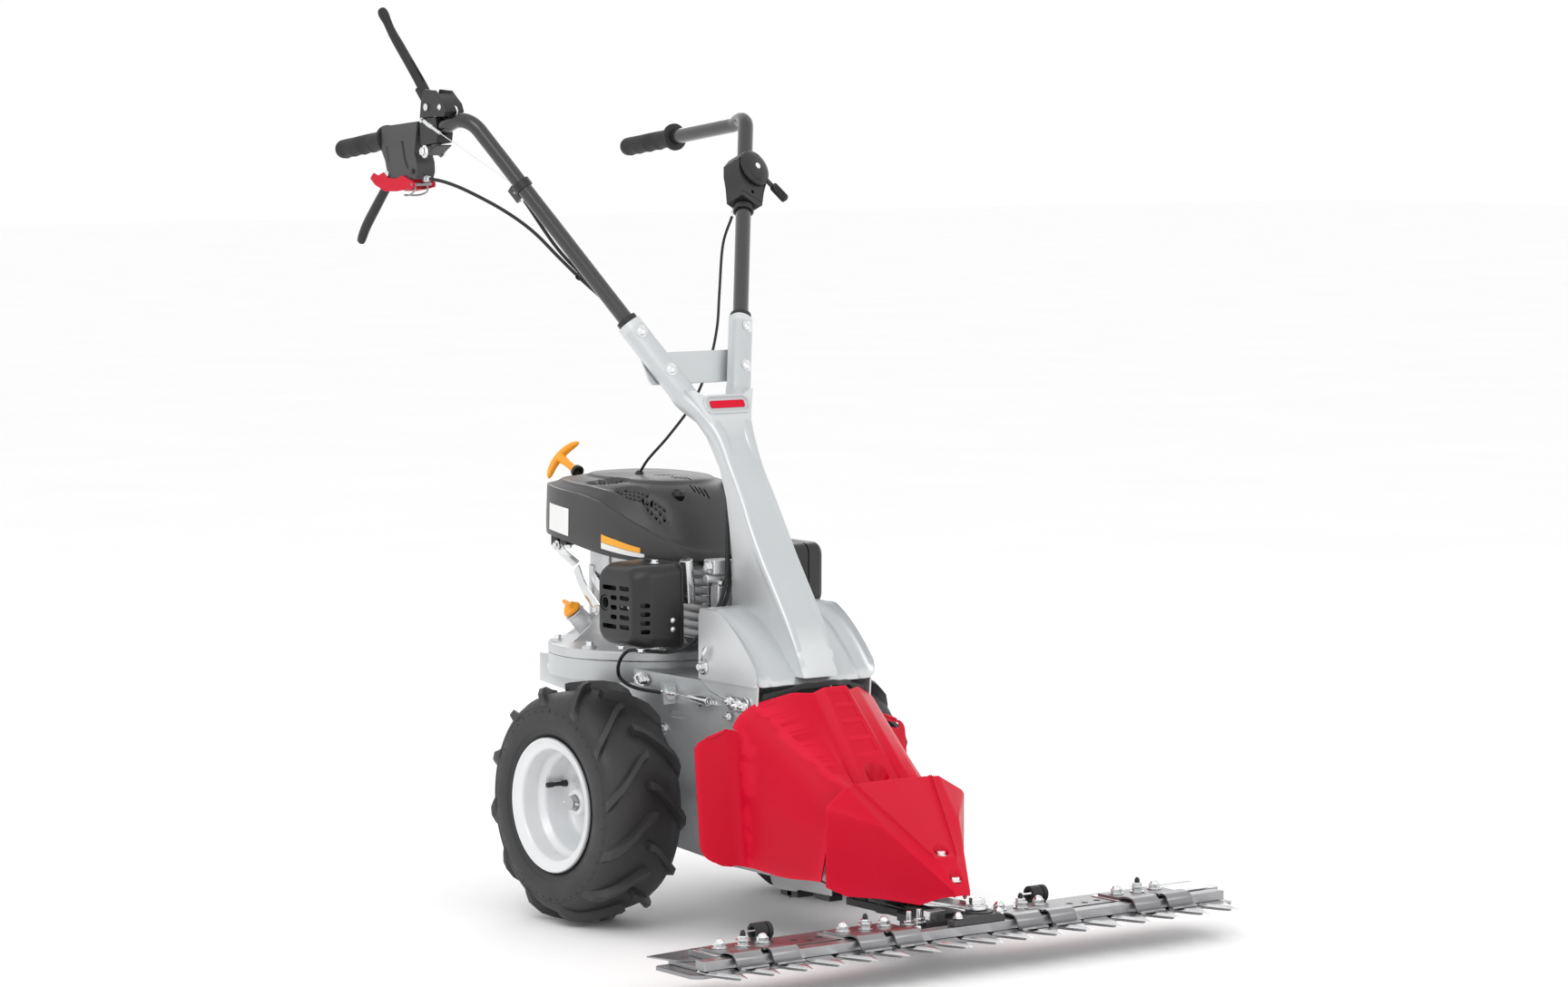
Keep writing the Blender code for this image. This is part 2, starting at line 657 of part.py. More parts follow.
def make_shroud():
    levels = [(1.0, SHROUD_BASE), (1.0, 0.536), (0.965, 0.562), (0.88, 0.579), (0.70, 0.590), (0.35, 0.597)]
    bm = bmesh.new()
    rings = []
    for scale, z in levels:
        outline = superellipse(SHROUD_HALF_X * scale, SHROUD_HALF_Y * scale, SHROUD_Y, 28)
        rings.append([bm.verts.new((x, y, z)) for x, y in outline])
    for low, high in zip(rings, rings[1:]):
        for k in range(len(low)):
            n = (k + 1) % len(low)
            bm.faces.new((low[k], low[n], high[n], high[k]))
    bm.faces.new(rings[-1])
    solidify(solid("engine_shroud", bm, "grey_plastic"))


def make_flywheel():
    turn = revolve([(0.270, 0), (0.270, CRANK_R), (0.548, CRANK_R), (0.548, 0)], 14, (0, 0, 1), (0, ENGINE_Y, 0))
    solid("crankshaft", turn, "dark_steel", (0, ENGINE_Y, 0.35))
    bore = CRANK_R + GAP
    wheel = revolve([(0.506, bore), (0.506, 0.082), (0.530, 0.082), (0.530, 0.060), (0.516, 0.055), (0.516, bore)],
                    24, (0, 0, 1), (0, ENGINE_Y, 0))
    solid("flywheel", wheel, "cast_aluminium", (0, ENGINE_Y, 0.51))
    solid("crank_pulley", revolve(pulley_profile(0.035, bore), 20, (0, 0, 1), (0, ENGINE_Y, 0)), "dark_steel",
          (0, ENGINE_Y, BELT_Z))


def pulley_profile(outer, bore):
    groove = outer - 0.0060
    half, waist = 0.0090, 0.0048
    return [(BELT_Z - half, bore), (BELT_Z - half, outer), (BELT_Z - waist, outer), (BELT_Z - waist, groove),
            (BELT_Z + waist, groove), (BELT_Z + waist, outer), (BELT_Z + half, outer), (BELT_Z + half, bore)]


def make_gearbox():
    low, high = (-0.055, -0.130, 0.112), (0.055, 0.045, 0.272)
    case = solid("gearbox_case", box(low, high), "cast_aluminium")
    cut(case, rod((-0.1, 0, AXLE_Z), (0.1, 0, AXLE_Z), AXLE_R + GAP, 16),
        rod((0, -0.20, KNIFE_SHAFT_Z), (0, -0.108, KNIFE_SHAFT_Z), 0.0074, 14),
        rod((0, GEARBOX_SHAFT_Y, 0.240), (0, GEARBOX_SHAFT_Y, 0.30), 0.0094, 14))
    stub = [(0.243, 0), (0.243, 0.0090)]
    rim = pulley_profile(0.050, 0.0090)
    top = rim[-1][0]
    profile = stub + rim[:-1] + [(top, 0)]
    solid("gearbox_pulley", revolve(profile, 20, (0, 0, 1), (0, GEARBOX_SHAFT_Y, 0)), "dark_steel",
          (0, GEARBOX_SHAFT_Y, BELT_Z))
    shaft = rod((0, -0.1115, KNIFE_SHAFT_Z), (0, -0.3830, KNIFE_SHAFT_Z), 0.0070, 12)
    solid("knife_shaft", shaft, "dark_steel", (0, -0.25, KNIFE_SHAFT_Z))


def belt_loop(extra):
    """The outline of the belt round both pulleys, at extra outside their groove floors."""
    clear = 0.0011
    front_r, rear_r = 0.0440 + clear + extra, 0.0290 + clear + extra
    span = ENGINE_Y - GEARBOX_SHAFT_Y
    lean = math.asin((front_r - rear_r) / span)
    arc = 9
    points = []
    for k in range(arc + 1):
        angle = -lean + math.pi + (math.pi - 2 * -lean) * k / arc
        points.append((front_r * math.cos(angle), GEARBOX_SHAFT_Y + front_r * math.sin(angle)))
    for k in range(arc + 1):
        angle = lean + (math.pi - 2 * lean) * k / arc
        points.append((rear_r * math.cos(angle), ENGINE_Y + rear_r * math.sin(angle)))
    return points


def make_belt():
    bm = bmesh.new()
    rings = []
    for extra, z in ((0, -0.0040), (0.0048, -0.0040), (0.0048, 0.0040), (0, 0.0040)):
        rings.append([bm.verts.new((x, y, BELT_Z + z)) for x, y in belt_loop(extra)])
    for i, low in enumerate(rings):
        high = rings[(i + 1) % len(rings)]
        for k in range(len(low)):
            n = (k + 1) % len(low)
            bm.faces.new((low[k], low[n], high[n], high[k]))
    solid("drive_belt", bm, "rubber")


def make_exhaust():
    guard = solid("muffler_guard", box((-0.172, -0.096, 0.3775), (-0.100, 0.010, 0.4955)), "black_plastic")
    rounded(guard, 0.005)
    cut(guard, box((-0.1695, -0.0935, 0.3800), (-0.090, 0.0075, 0.4930)))
    for row in range(4):
        z = 0.406 + row * 0.016
        for low, high in ((-0.078, -0.052), (-0.044, -0.018)):
            cut(guard, box((-0.20, low, z), (-0.16, high, z + 0.006)))
    solid("muffler", box((-0.160, -0.084, 0.394), (-0.104, -0.003, 0.482)), "dark_steel")


def make_intake():
    solid("carburettor", box((0.0580, -0.030, 0.420), (0.0975, 0.020, 0.470)), "cast_aluminium")
    case = solid("air_filter_box", box((0.0985, -0.082, 0.420), (0.150, 0.010, 0.508)), "black_plastic")
    rounded(case, 0.012)
    tank = solid("fuel_tank", box((0.086, 0.050, 0.385), (0.158, 0.215, 0.506)), "black_plastic")
    rounded(tank, 0.014)
    cap_at = (0.095, 0.040, 0.5925)
    cap = [(0, 0), (0, 0.022), (0.010, 0.022), (0.012, 0.019), (0.012, 0)]
    solid("fuel_cap", revolve(cap, 16, (0, 0, 1), cap_at), "black_plastic", cap_at)


def make_starter():
    bar = Vector((0.574, -0.301, 0.760))
    bar = (bar - STARTER_AXIS * bar.dot(STARTER_AXIS)).normalized()
    top = STARTER_ROOT + STARTER_AXIS * 0.050
    points, radii = [], []
    for k in range(-3, 4):
        bend = (k / 3) ** 2
        points.append(top + bar * (0.0113 * k) - STARTER_AXIS * (0.012 * bend))
        radii.append(0.0068 - 0.0020 * bend)
    handle = solid("starter_handle", sweep(points, radii, 8), "orange_plastic", STARTER_ROOT)
    weld(handle, sweep([STARTER_ROOT + STARTER_AXIS * 0.004, STARTER_ROOT + STARTER_AXIS * 0.030, top],
                       [0.0078, 0.0055, 0.0060], 8))


# Hood

def make_hood():
    points = [(0, -0.3035, 0.340), (-0.0187, -0.3035, 0.340), (-0.0957, -0.254, 0.319),
              (0, -0.4275, 0.197), (-0.0320, -0.4275, 0.197), (-0.0564, -0.4275, 0.2106),
              (-0.125, -0.239, 0.290), (-0.125, -0.264, 0.1035), (-0.121, -0.3937, 0.097),
              (-0.118, -0.4275, 0.112), (-0.100, -0.4275, 0.165),
              (-0.165, -0.228, 0.283), (-0.178, -0.229, 0.265), (-0.178, -0.2423, 0.150), (-0.165, -0.2591, 0.1099)]
    faces = [(0, 1, 4, 3), (1, 2, 5, 4), (2, 6, 10, 5), (6, 7, 8, 9, 10), (6, 11, 12, 13, 14, 7)]
    shell_from_faces("hood_main", points, faces, "red_plastic", SHEET)
    points = [(0, -0.4285, 0.2290), (-0.0610, -0.4290, 0.2280), (-0.0140, -0.5425, 0.1390), (0, -0.5425, 0.1395),
              (-0.0780, -0.4300, 0.2270), (-0.1160, -0.4360, 0.2040), (-0.0640, -0.4890, 0.1800),
              (-0.0130, -0.5757, 0.1010), (0, -0.5765, 0.1010), (-0.1160, -0.4360, 0.0980),
              (-0.0975, -0.4566, 0.0870), (-0.0670, -0.4915, 0.0855), (-0.0380, -0.5360, 0.0805),
              (-0.0220, -0.5610, 0.0915), (-0.0130, -0.5740, 0.0945), (0, -0.5750, 0.0945)]
    faces = [(0, 1, 2, 3), (3, 2, 7, 8), (1, 4, 6), (1, 6, 2), (2, 6, 7), (4, 5, 6), (5, 9, 10, 11, 6),
             (6, 11, 12, 13, 14, 7), (7, 14, 15, 8)]
    shell_from_faces("hood_nose", points, faces, "red_plastic", SHEET)


# Cutter bar and knife drive

def comb(tip_y, root_y, rear_y, half_root, half_tip, centre, low_x, high_x):
    """A toothed strip's outline, from its left rear corner round the teeth."""
    outline = [(low_x, rear_y), (low_x, root_y)]
    for k in range(TEETH):
        x = centre + (k - (TEETH - 1) / 2) * TOOTH_PITCH
        outline += [(x - half_root, root_y), (x - half_tip, tip_y), (x + half_tip, tip_y), (x + half_root, root_y)]
    return outline + [(high_x, root_y), (high_x, rear_y)]


def make_cutter_bar():
    fingers = comb(-0.6520, -0.6060, -0.5150, 0.0190, 0.0012, 0, -0.4475, 0.4475)
    base = solid("cutter_base", prism(fingers, "Z", 0.0395, 0.0443), "dark_steel")
    for low, high in ((-0.4300, -0.080), (0.080, 0.4475)):
        weld(base, box((low, -0.5750, 0.0420), (high, -0.5150, 0.0600)))
    sections = comb(KNIFE_TIP_Y, -0.6040, -0.5830, 0.0235, 0.0006, 0, -0.4320, 0.4320)
    knife = solid("knife", prism(sections, "Z", 0.0450, 0.0480), "blade_steel", (0, -0.59, 0.0465))
    weld(knife, box((-0.4320, -0.6030, 0.0470), (0.4320, -0.5835, 0.0605)))
    pin_x = KNIFE_STROKE / 2
    block = prism(round_outline(pin_x, -0.5790, 0.0185, 20), "Z", 0.0470, 0.0735)
    weld(knife, block)
    cut(knife, box((pin_x - 0.0064, -0.5865, 0.0630), (pin_x + 0.0064, -0.5665, 0.0800)))
    for number, centre in enumerate(HOLD_DOWNS, 1):
        make_hold_down(f"hold_down_{number}", centre)


def round_outline(x, y, radius, count):
    return [(x + radius * math.cos(math.tau * k / count), y + radius * math.sin(math.tau * k / count))
            for k in range(count)]


def make_hold_down(name, centre):
    """A sprung sheet with two fingers that reach over the knife bar onto the sections."""
    t = 0.0028
    top = [(-0.5400, 0.0604), (-0.5780, 0.0604), (-0.5850, 0.0622), (-0.6040, 0.0622), (-0.6085, 0.0590),
           (-0.6110, 0.0486), (-0.6200, 0.0486)]
    raised = [(-0.6200, 0.0486 + t), (-0.6135, 0.0486 + t), (-0.6115, 0.0610), (-0.6055, 0.0622 + t),
              (-0.5850, 0.0622 + t), (-0.5780, 0.0604 + t), (-0.5400, 0.0604 + t)]
    half = 0.0500
    plate = solid(name, prism(top + raised, "X", centre - half, centre + half), "dark_steel")
    cut(plate, box((centre - 0.0050, -0.6300, 0.03), (centre + 0.0050, -0.5860, 0.08)))


def make_knife_drive():
    side = [(-0.5530, 0.0447), (-0.5530, 0.0738), (-0.4020, 0.0738), (-0.4020, 0.145), (-0.3550, 0.145),
            (-0.3550, 0.035), (-0.5120, 0.035), (-0.5120, 0.0447)]
    case = solid("knife_drive_housing", prism(side, "X", -0.042, 0.042), "cast_iron")
    cut(case, rod((0, ARM_PIVOT_Y, 0.050), (0, ARM_PIVOT_Y, 0.09), 0.0094, 14),
        rod((0, -0.3870, KNIFE_SHAFT_Z), (0, -0.34, KNIFE_SHAFT_Z), 0.0074, 14),
        box((-0.05, -0.5600, 0.0600), (0.05, -0.5330, 0.08)))
    pin = Vector((KNIFE_STROKE / 2, PIN_Y, 0))
    pivot = Vector((0, ARM_PIVOT_Y, 0))
    reach = pin - pivot
    across = Vector((-reach.y, reach.x, 0)).normalized()
    outline = []
    for point, half, sign in ((pivot, 0.019, 1), (pin, 0.0155, 1), (pin, 0.0155, -1), (pivot, 0.019, -1)):
        end = reach.normalized() * (0.014 if point is pin else -0.016)
        corner = point + across * (half * sign) + end
        outline.append((corner.x, corner.y))
    arm = solid("drive_arm", prism(outline, "Z", ARM_Z, ARM_Z + 0.0050), "zinc", (0, ARM_PIVOT_Y, ARM_Z))
    weld(arm, rod((0, ARM_PIVOT_Y, 0.0520), (0, ARM_PIVOT_Y, ARM_Z + 0.002), 0.0090, 12),
         rod((pin.x, pin.y, 0.0650), (pin.x, pin.y, ARM_Z + 0.002), 0.0060, 12),
         rod((pin.x, pin.y, ARM_Z + 0.003), (pin.x, pin.y, ARM_Z + 0.0110), 0.0105, 6))


# Linkage and cables

def make_linkage():
    outer = -CHASSIS_HALF - GAP
    bracket = box((outer - 0.0180, -0.0730, 0.3000), (outer, -0.0700, 0.3280))
    solid("cable_bracket", bracket, "zinc")
    x = outer - 0.0100
    solid("cable_turnbuckle", rod((x, -0.1660, 0.3135), (x, -0.1170, 0.3135), 0.0062, 12), "zinc")
    x = outer - 0.0040
    arm = [(-0.245, 0.305), (-0.245, 0.325), (-0.200, 0.325), (-0.200, 0.310)]
    solid("belt_clutch_arm", prism(arm, "X", x - 0.003, x), "zinc")
    head = [(0, 0), (0, 0.0090), (0.006, 0.0090), (0.006, 0)]
    lever = solid("adjuster_lever", revolve(head, 6, (-1, 0, 0), ADJUSTER), "zinc", ADJUSTER)
    tip = ADJUSTER + Vector((-0.0055, -0.0147, 0.0290))
    weld(lever, sweep([ADJUSTER + Vector((-0.003, -0.002, 0.004)), tip], [0.0022, 0.0034], 8))


def make_cables():
    cable("cable_clutch", [(-0.1800, 0.1700, 0.9830), (-0.1484, 0.1400, 0.9200), (-0.1195, 0.1180, 0.8800),
                           (-0.0960, 0.0980, 0.8480), (-0.0742, 0.0800, 0.8187), (-0.0440, 0.0520, 0.7700),
                           (-0.0180, 0.0250, 0.7250), (-0.0080, -0.0150, 0.6800), (-0.0090, -0.0560, 0.6300),
                           (-0.0180, -0.0830, 0.5900), (-0.0290, -0.0990, 0.5500), (-0.0345, -0.1060, 0.5100),
                           (-0.0375, -0.1075, 0.4680), (-0.0520, -0.1075, 0.4300), (-0.0840, -0.1100, 0.3960),
                           (-0.1080, -0.1050, 0.3800), (-0.1180, -0.0830, 0.3730), (-0.1230, -0.0500, 0.3715),
                           (-0.1250, -0.0070, 0.3690), (-0.1260, 0.0130, 0.3590), (-0.1250, 0.0250, 0.3420),
                           (-0.1200, 0.0260, 0.3260), (-0.1120, 0.0020, 0.3150), (-0.1068, -0.0690, 0.3135)],
          count=54)
    cable("cable_drive", [(-0.2490, 0.3050, 1.0118), (-0.2350, 0.2850, 1.0070), (-0.2123, 0.2620, 0.9943),
                          (-0.1760, 0.2280, 0.9680), (-0.1460, 0.2000, 0.9389), (-0.1270, 0.1650, 0.9040),
                          (-0.1100, 0.1350, 0.8740), (-0.0860, 0.1050, 0.8410), (-0.0600, 0.0800, 0.8050),
                          (-0.0320, 0.0540, 0.7650), (-0.0100, 0.0300, 0.7200), (-0.0020, -0.0100, 0.6750),
                          (-0.0040, -0.0500, 0.6250), (-0.0120, -0.0760, 0.5850), (-0.0230, -0.0930, 0.5450),
                          (-0.0290, -0.1010, 0.5050), (-0.0305, -0.1060, 0.4600), (-0.0460, -0.1060, 0.4200),
                          (-0.0700, -0.1100, 0.3800), (-0.0820, -0.1300, 0.3600), (-0.0820, -0.1500, 0.3560)],
          count=46)
    cable("cable_throttle", [(0.1690, 0.1600, 0.9560), (0.1600, 0.1700, 0.9150), (0.1320, 0.1400, 0.8500),
                             (0.1020, 0.1050, 0.8000), (0.0620, 0.0700, 0.7500), (0.0200, 0.0500, 0.7000),
                             (-0.0130, 0.0600, 0.6560), (-0.0270, 0.0900, 0.6220), (-0.0300, 0.1080, 0.6010)],
          0.0020, 26)


def build():
    for side, hand in ((RIGHT, "right"), (LEFT, "left")):
        make_tyre("tyre_" + hand, side)
        make_rim("rim_" + hand, side)
        make_handlebar("handlebar_" + hand, side)
        make_grip("grip_" + hand, side)
    make_axle()
    make_chassis()
    make_mast()
    make_cross_plate()
    make_clutch_lever()
    make_drive_lever()
    make_throttle()
    make_crankcase()
    make_oil_cap()
    make_cylinder()
    make_shroud()
    make_flywheel()
    make_gearbox()
    make_belt()
    make_exhaust()
    make_intake()
    make_starter()
    make_hood()
    make_cutter_bar()
    make_knife_drive()
    make_linkage()
    make_cables()


clear_scene()
machine = bpy.data.objects.new("machine", None)
machine.location = (0, AXLE_SHIFT_Y, 0)
bpy.context.scene.collection.objects.link(machine)
bpy.context.view_layer.update()
build()
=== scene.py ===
import json
import math

import bmesh
import bpy
from mathutils import Matrix, Vector


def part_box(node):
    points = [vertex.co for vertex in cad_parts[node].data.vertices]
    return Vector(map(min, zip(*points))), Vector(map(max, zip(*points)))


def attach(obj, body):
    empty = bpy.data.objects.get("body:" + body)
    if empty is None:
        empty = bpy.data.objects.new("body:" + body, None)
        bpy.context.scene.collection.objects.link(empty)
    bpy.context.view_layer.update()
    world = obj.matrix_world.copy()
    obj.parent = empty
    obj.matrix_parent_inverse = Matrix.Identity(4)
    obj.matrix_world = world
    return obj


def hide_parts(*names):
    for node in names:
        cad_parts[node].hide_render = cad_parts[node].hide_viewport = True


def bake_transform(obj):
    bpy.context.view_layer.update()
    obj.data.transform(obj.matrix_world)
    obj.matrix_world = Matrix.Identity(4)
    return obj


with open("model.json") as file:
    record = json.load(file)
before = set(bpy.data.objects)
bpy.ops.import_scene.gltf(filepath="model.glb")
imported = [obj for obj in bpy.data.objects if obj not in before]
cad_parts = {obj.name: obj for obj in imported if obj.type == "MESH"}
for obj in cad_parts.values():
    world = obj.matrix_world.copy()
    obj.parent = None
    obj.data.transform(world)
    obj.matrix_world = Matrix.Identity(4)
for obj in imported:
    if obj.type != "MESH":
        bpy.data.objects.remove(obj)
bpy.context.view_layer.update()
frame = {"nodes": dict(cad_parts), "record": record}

# Every piece is drawn in the axle frame (y = 0 on the wheel axle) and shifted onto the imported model.
X, Y, Z = Vector((1, 0, 0)), Vector((0, 1, 0)), Vector((0, 0, 1))
AXLE_SHIFT = Y * (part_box("axle")[0].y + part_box("axle")[1].y) / 2
RIGHT, LEFT = -1, 1
HAND = {RIGHT: "right", LEFT: "left"}
FULL = math.tau


# Mesh helpers

def joined(*parts, as_drawn=False):
    """One mesh of several bodies. Closed ones get their faces outward, and open surfaces stay as drawn."""
    whole = bmesh.new()
    for part in parts:
        mesh = bpy.data.meshes.new("part")
        if not as_drawn:
            bmesh.ops.recalc_face_normals(part, faces=part.faces)
        part.to_mesh(mesh)
        part.free()
        whole.from_mesh(mesh)
        bpy.data.meshes.remove(mesh)
    return whole


def moved(bm, matrix):
    """The mesh itself, after the move."""
    bm.transform(matrix)
    return bm


def turn_to(axis, centre=(0, 0, 0), up=None):
    """The matrix that lays +Z along the axis at the centre, with +Y towards up where that is given."""
    w = Vector(axis).normalized()
    v = Vector(up) if up is not None else w.orthogonal()
    v = (v - w * v.dot(w)).normalized()
    turn = Matrix((v.cross(w), v, w)).transposed().to_4x4()
    return Matrix.Translation(Vector(centre)) @ turn


def skin(rings, closed=True, cap_first=True, cap_last=True):
    """A mesh through rings of points: each ring joins the next, and flat caps close the ends."""
    bm = bmesh.new()
    rows = [[bm.verts.new(p) for p in ring] for ring in rings]
    count = len(rows[0])
    for low, high in zip(rows, rows[1:]):
        for k in range(count if closed else count - 1):
            n = (k + 1) % count
            bm.faces.new((low[k], low[n], high[n], high[k]))
    if cap_first:
        bm.faces.new(rows[0])
    if cap_last:
        bm.faces.new(rows[-1])
    return bm


def prism(outline, low, high, axis=Z, centre=(0, 0, 0), up=None):
    """A flat outline in its own plane, pushed from low to high along the axis."""
    rings = [[(u, v, level) for u, v in outline] for level in (low, high)]
    return moved(skin(rings), turn_to(axis, centre, up))


def slab_x(outline, low, high):
    """A prism along X of an outline given as (y, z) points."""
    return skin([[(x, y, z) for y, z in outline] for x in (low, high)])


def block(low, high):
    """A box between two opposite corners."""
    corners = [(low[0], low[1]), (high[0], low[1]), (high[0], high[1]), (low[0], high[1])]
    return skin([[(x, y, z) for x, y in corners] for z in (low[2], high[2])])


def rounded(width, height, radius, steps=5, centre=(0, 0)):
    """The outline of a rectangle with round corners."""
    points = []
    for quarter, (sx, sy) in enumerate(((1, 1), (-1, 1), (-1, -1), (1, -1))):
        for k in range(steps + 1):
            angle = FULL / 4 * (quarter + k / steps)
            points.append((centre[0] + sx * (width / 2 - radius) + radius * math.cos(angle),
                           centre[1] + sy * (height / 2 - radius) + radius * math.sin(angle)))
    return points


def circle(radius, count=24, centre=(0, 0), phase=0.0):
    return [(centre[0] + radius * math.cos(phase + FULL * k / count),
             centre[1] + radius * math.sin(phase + FULL * k / count)) for k in range(count)]


def revolve(profile, count=32, axis=Z, centre=(0, 0, 0)):
    """Turns (along, radius) points about the axis. A profile that stays off the axis is closed."""
    bm = bmesh.new()
    rows = []
    for along, radius in profile:
        if radius == 0:
            rows.append([bm.verts.new((0, 0, along))] * count)
        else:
            rows.append([bm.verts.new((x, y, along)) for x, y in circle(radius, count)])
    pairs = list(zip(rows, rows[1:]))
    if profile[0][1] and profile[-1][1]:
        pairs.append((rows[-1], rows[0]))
    for low, high in pairs:
        for k in range(count):
            n = (k + 1) % count
            corners = list(dict.fromkeys((low[k], low[n], high[n], high[k])))
            bm.faces.new(corners)
    return moved(bm, turn_to(axis, centre))


def rod(start, end, radius, count=16, edge=0.0):
    """A round bar between two points, with chamfered ends where an edge is given."""
    start, end = Vector(start), Vector(end)
    length = (end - start).length
    profile = [(0, 0), (0, radius - edge), (edge, radius), (length - edge, radius), (length, radius - edge),
               (length, 0)]
    if not edge:
        profile = [(0, 0), (0, radius), (length, radius), (length, 0)]
    return revolve(profile, count, end - start, start)


def tube_rings(points, radii, sides, flat=1.0, up=None):
    """Rings of points round a path; flat squeezes them along the side that faces up."""
    points = [Vector(p) for p in points]
    if isinstance(radii, (int, float)):
        radii = [radii] * len(points)
    rings, side = [], None
    for i, point in enumerate(points):
        ahead = (points[min(i + 1, len(points) - 1)] - points[max(i - 1, 0)]).normalized()
        if up is not None:
            side = Vector(up)
        elif side is None:
            side = ahead.orthogonal()
        side = (side - ahead * side.dot(ahead)).normalized()
        across = ahead.cross(side)
        rings.append([point + (side * math.cos(a) * flat + across * math.sin(a)) * radii[i]
                      for a in (FULL * k / sides for k in range(sides))])
    return rings


def sweep(points, radii, sides=12, flat=1.0, up=None):
    """A solid bar along a path."""
    return skin(tube_rings(points, radii, sides, flat, up))


def smooth(points, count):
    """Points on a Catmull-Rom curve through the given ones. They may hold more than three numbers."""
    knots = [Vector(p) for p in points]
    knots = [knots[0] * 2 - knots[1]] + knots + [knots[-1] * 2 - knots[-2]]
    spans = len(knots) - 3
    route = []
    for i in range(count):
        at = i / (count - 1) * spans
        k = min(int(at), spans - 1)
        t = at - k
        a, b, c, d = knots[k:k + 4]
        route.append(0.5 * (2 * b + (c - a) * t + (2 * a - 5 * b + 4 * c - d) * t ** 2
                            + (3 * b - a - 3 * c + d) * t ** 3))
    return route


def filleted(points, radius, steps=8):
    """The points with each inner corner replaced by an arc."""
    points = [Vector(p) for p in points]
    path = [points[0]]
    for before, corner, after in zip(points, points[1:], points[2:]):
        back, ahead = (before - corner).normalized(), (after - corner).normalized()
        half = back.angle(ahead) / 2
        reach = min(radius / math.tan(half), (after - corner).length * 0.7)
        bend = reach * math.tan(half)
        centre = corner + (back + ahead).normalized() * (bend / math.sin(half))
        first, last = corner + back * reach - centre, corner + ahead * reach - centre
        path += [centre + first.slerp(last, k / steps).normalized() * bend for k in range(steps + 1)]
    return path + [points[-1]]


def on_side(point, side):
    """A point given for the left side, on either side."""
    return Vector((point[0] * side, point[1], point[2]))


def mix(a, b, t):
    return a + (b - a) * t


def ease(low, high, value):
    """0 below low, 1 above high, and a smooth step between."""
    t = min(max((value - low) / (high - low), 0), 1)
    return t * t * (3 - 2 * t)


def linked(name, bm):
    """A new object in the scene with the mesh."""
    mesh = bpy.data.meshes.new(name)
    bm.to_mesh(mesh)
    bm.free()
    obj = bpy.data.objects.new(name, mesh)
    bpy.context.scene.collection.objects.link(obj)
    return obj


def worked_out(*objects):
    """The first object's mesh after its modifiers. All the objects are removed."""
    result = bmesh.new()
    result.from_mesh(objects[0].evaluated_get(bpy.context.evaluated_depsgraph_get()).to_mesh())
    for obj in objects:
        mesh = obj.data
        bpy.data.objects.remove(obj)
        bpy.data.meshes.remove(mesh)
    return result


def cut(base, *tools):
    """The closed mesh of base less each of the tools, which are closed too."""
    for bm in (base, *tools):
        bmesh.ops.recalc_face_normals(bm, faces=bm.faces)
    body, *cutters = [linked("temporary", bm) for bm in (base, *tools)]
    for cutter in cutters:
        step = body.modifiers.new("step", "BOOLEAN")
        step.operation = "DIFFERENCE"
        step.object = cutter
        step.solver = "EXACT"
        step.use_self = True
    return worked_out(body, *cutters)


def from_node(node):
    """A CAD node's own shape, welded and with its flat faces whole, drawn in the axle frame."""
    bm = bmesh.new()
    bm.from_mesh(frame["nodes"][node].data)
    bmesh.ops.translate(bm, verts=bm.verts, vec=-AXLE_SHIFT)
    bmesh.ops.remove_doubles(bm, verts=bm.verts, dist=0.00001)
    bmesh.ops.dissolve_limit(bm, angle_limit=math.radians(0.5), verts=bm.verts, edges=bm.edges)
    return bm


def piece(name, bm, look, body="frame", stands_for=(), bevel=0.0, steps=2, sharp=35, angle=30):
    """Links a mesh as one piece of the object, rounds its edges and lets it ride on its body, if it has one."""
    bmesh.ops.recalc_face_normals(bm, faces=bm.faces)
    bmesh.ops.translate(bm, verts=bm.verts, vec=AXLE_SHIFT)
    obj = linked(name, bm)
    obj.data.shade_smooth()
    obj.data.set_sharp_from_angle(angle=math.radians(sharp))
    obj.data.materials.append(look)
    if bevel:
        rounding = obj.modifiers.new("edges", "BEVEL")
        rounding.width = bevel
        rounding.segments = steps
        rounding.limit_method = "ANGLE"
        rounding.angle_limit = math.radians(angle)
        rounding.use_clamp_overlap = True
        rounding.harden_normals = True
    if body:
        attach(obj, body)
    if stands_for:
        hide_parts(*stands_for)
    return obj


# Materials

def new_node(tree, kind, **inputs):
    """A shader node with its inputs linked or set; an underscore in a name stands for a space."""
    made = tree.nodes.new(kind)
    for key, value in inputs.items():
        if hasattr(value, "is_linked"):
            tree.links.new(value, made.inputs[key.replace("_", " ")])
        else:
            made.inputs[key.replace("_", " ")].default_value = value
    return made


def ramp(tree, source, stops):
    """A colour ramp on a source; a stop's colour may be one number for a grey."""
    made = tree.nodes.new("ShaderNodeValToRGB")
    tree.links.new(source, made.inputs[0])
    band = made.color_ramp
    while len(band.elements) < len(stops):
        band.elements.new(0.5)
    for element, (at, color) in zip(band.elements, stops):
        element.position = at
        element.color = (*color, 1) if isinstance(color, tuple) else (color, color, color, 1)
    return made.outputs[0]


def blended(tree, share, first, second):
    """A mix of two colours; each input is a socket or a value."""
    made = tree.nodes.new("ShaderNodeMix")
    made.data_type = "RGBA"
    for socket, value in ((made.inputs[0], share), (made.inputs[6], first), (made.inputs[7], second)):
        if hasattr(value, "is_linked"):
            tree.links.new(value, socket)
        elif isinstance(value, tuple):
            socket.default_value = (*value, 1)
        else:
            socket.default_value = value
    return made.outputs[2]


def tinted(color, share):
    """The colour made lighter or darker by a share of itself."""
    return tuple(min(max(c * (1 + share), 0), 1) for c in color)


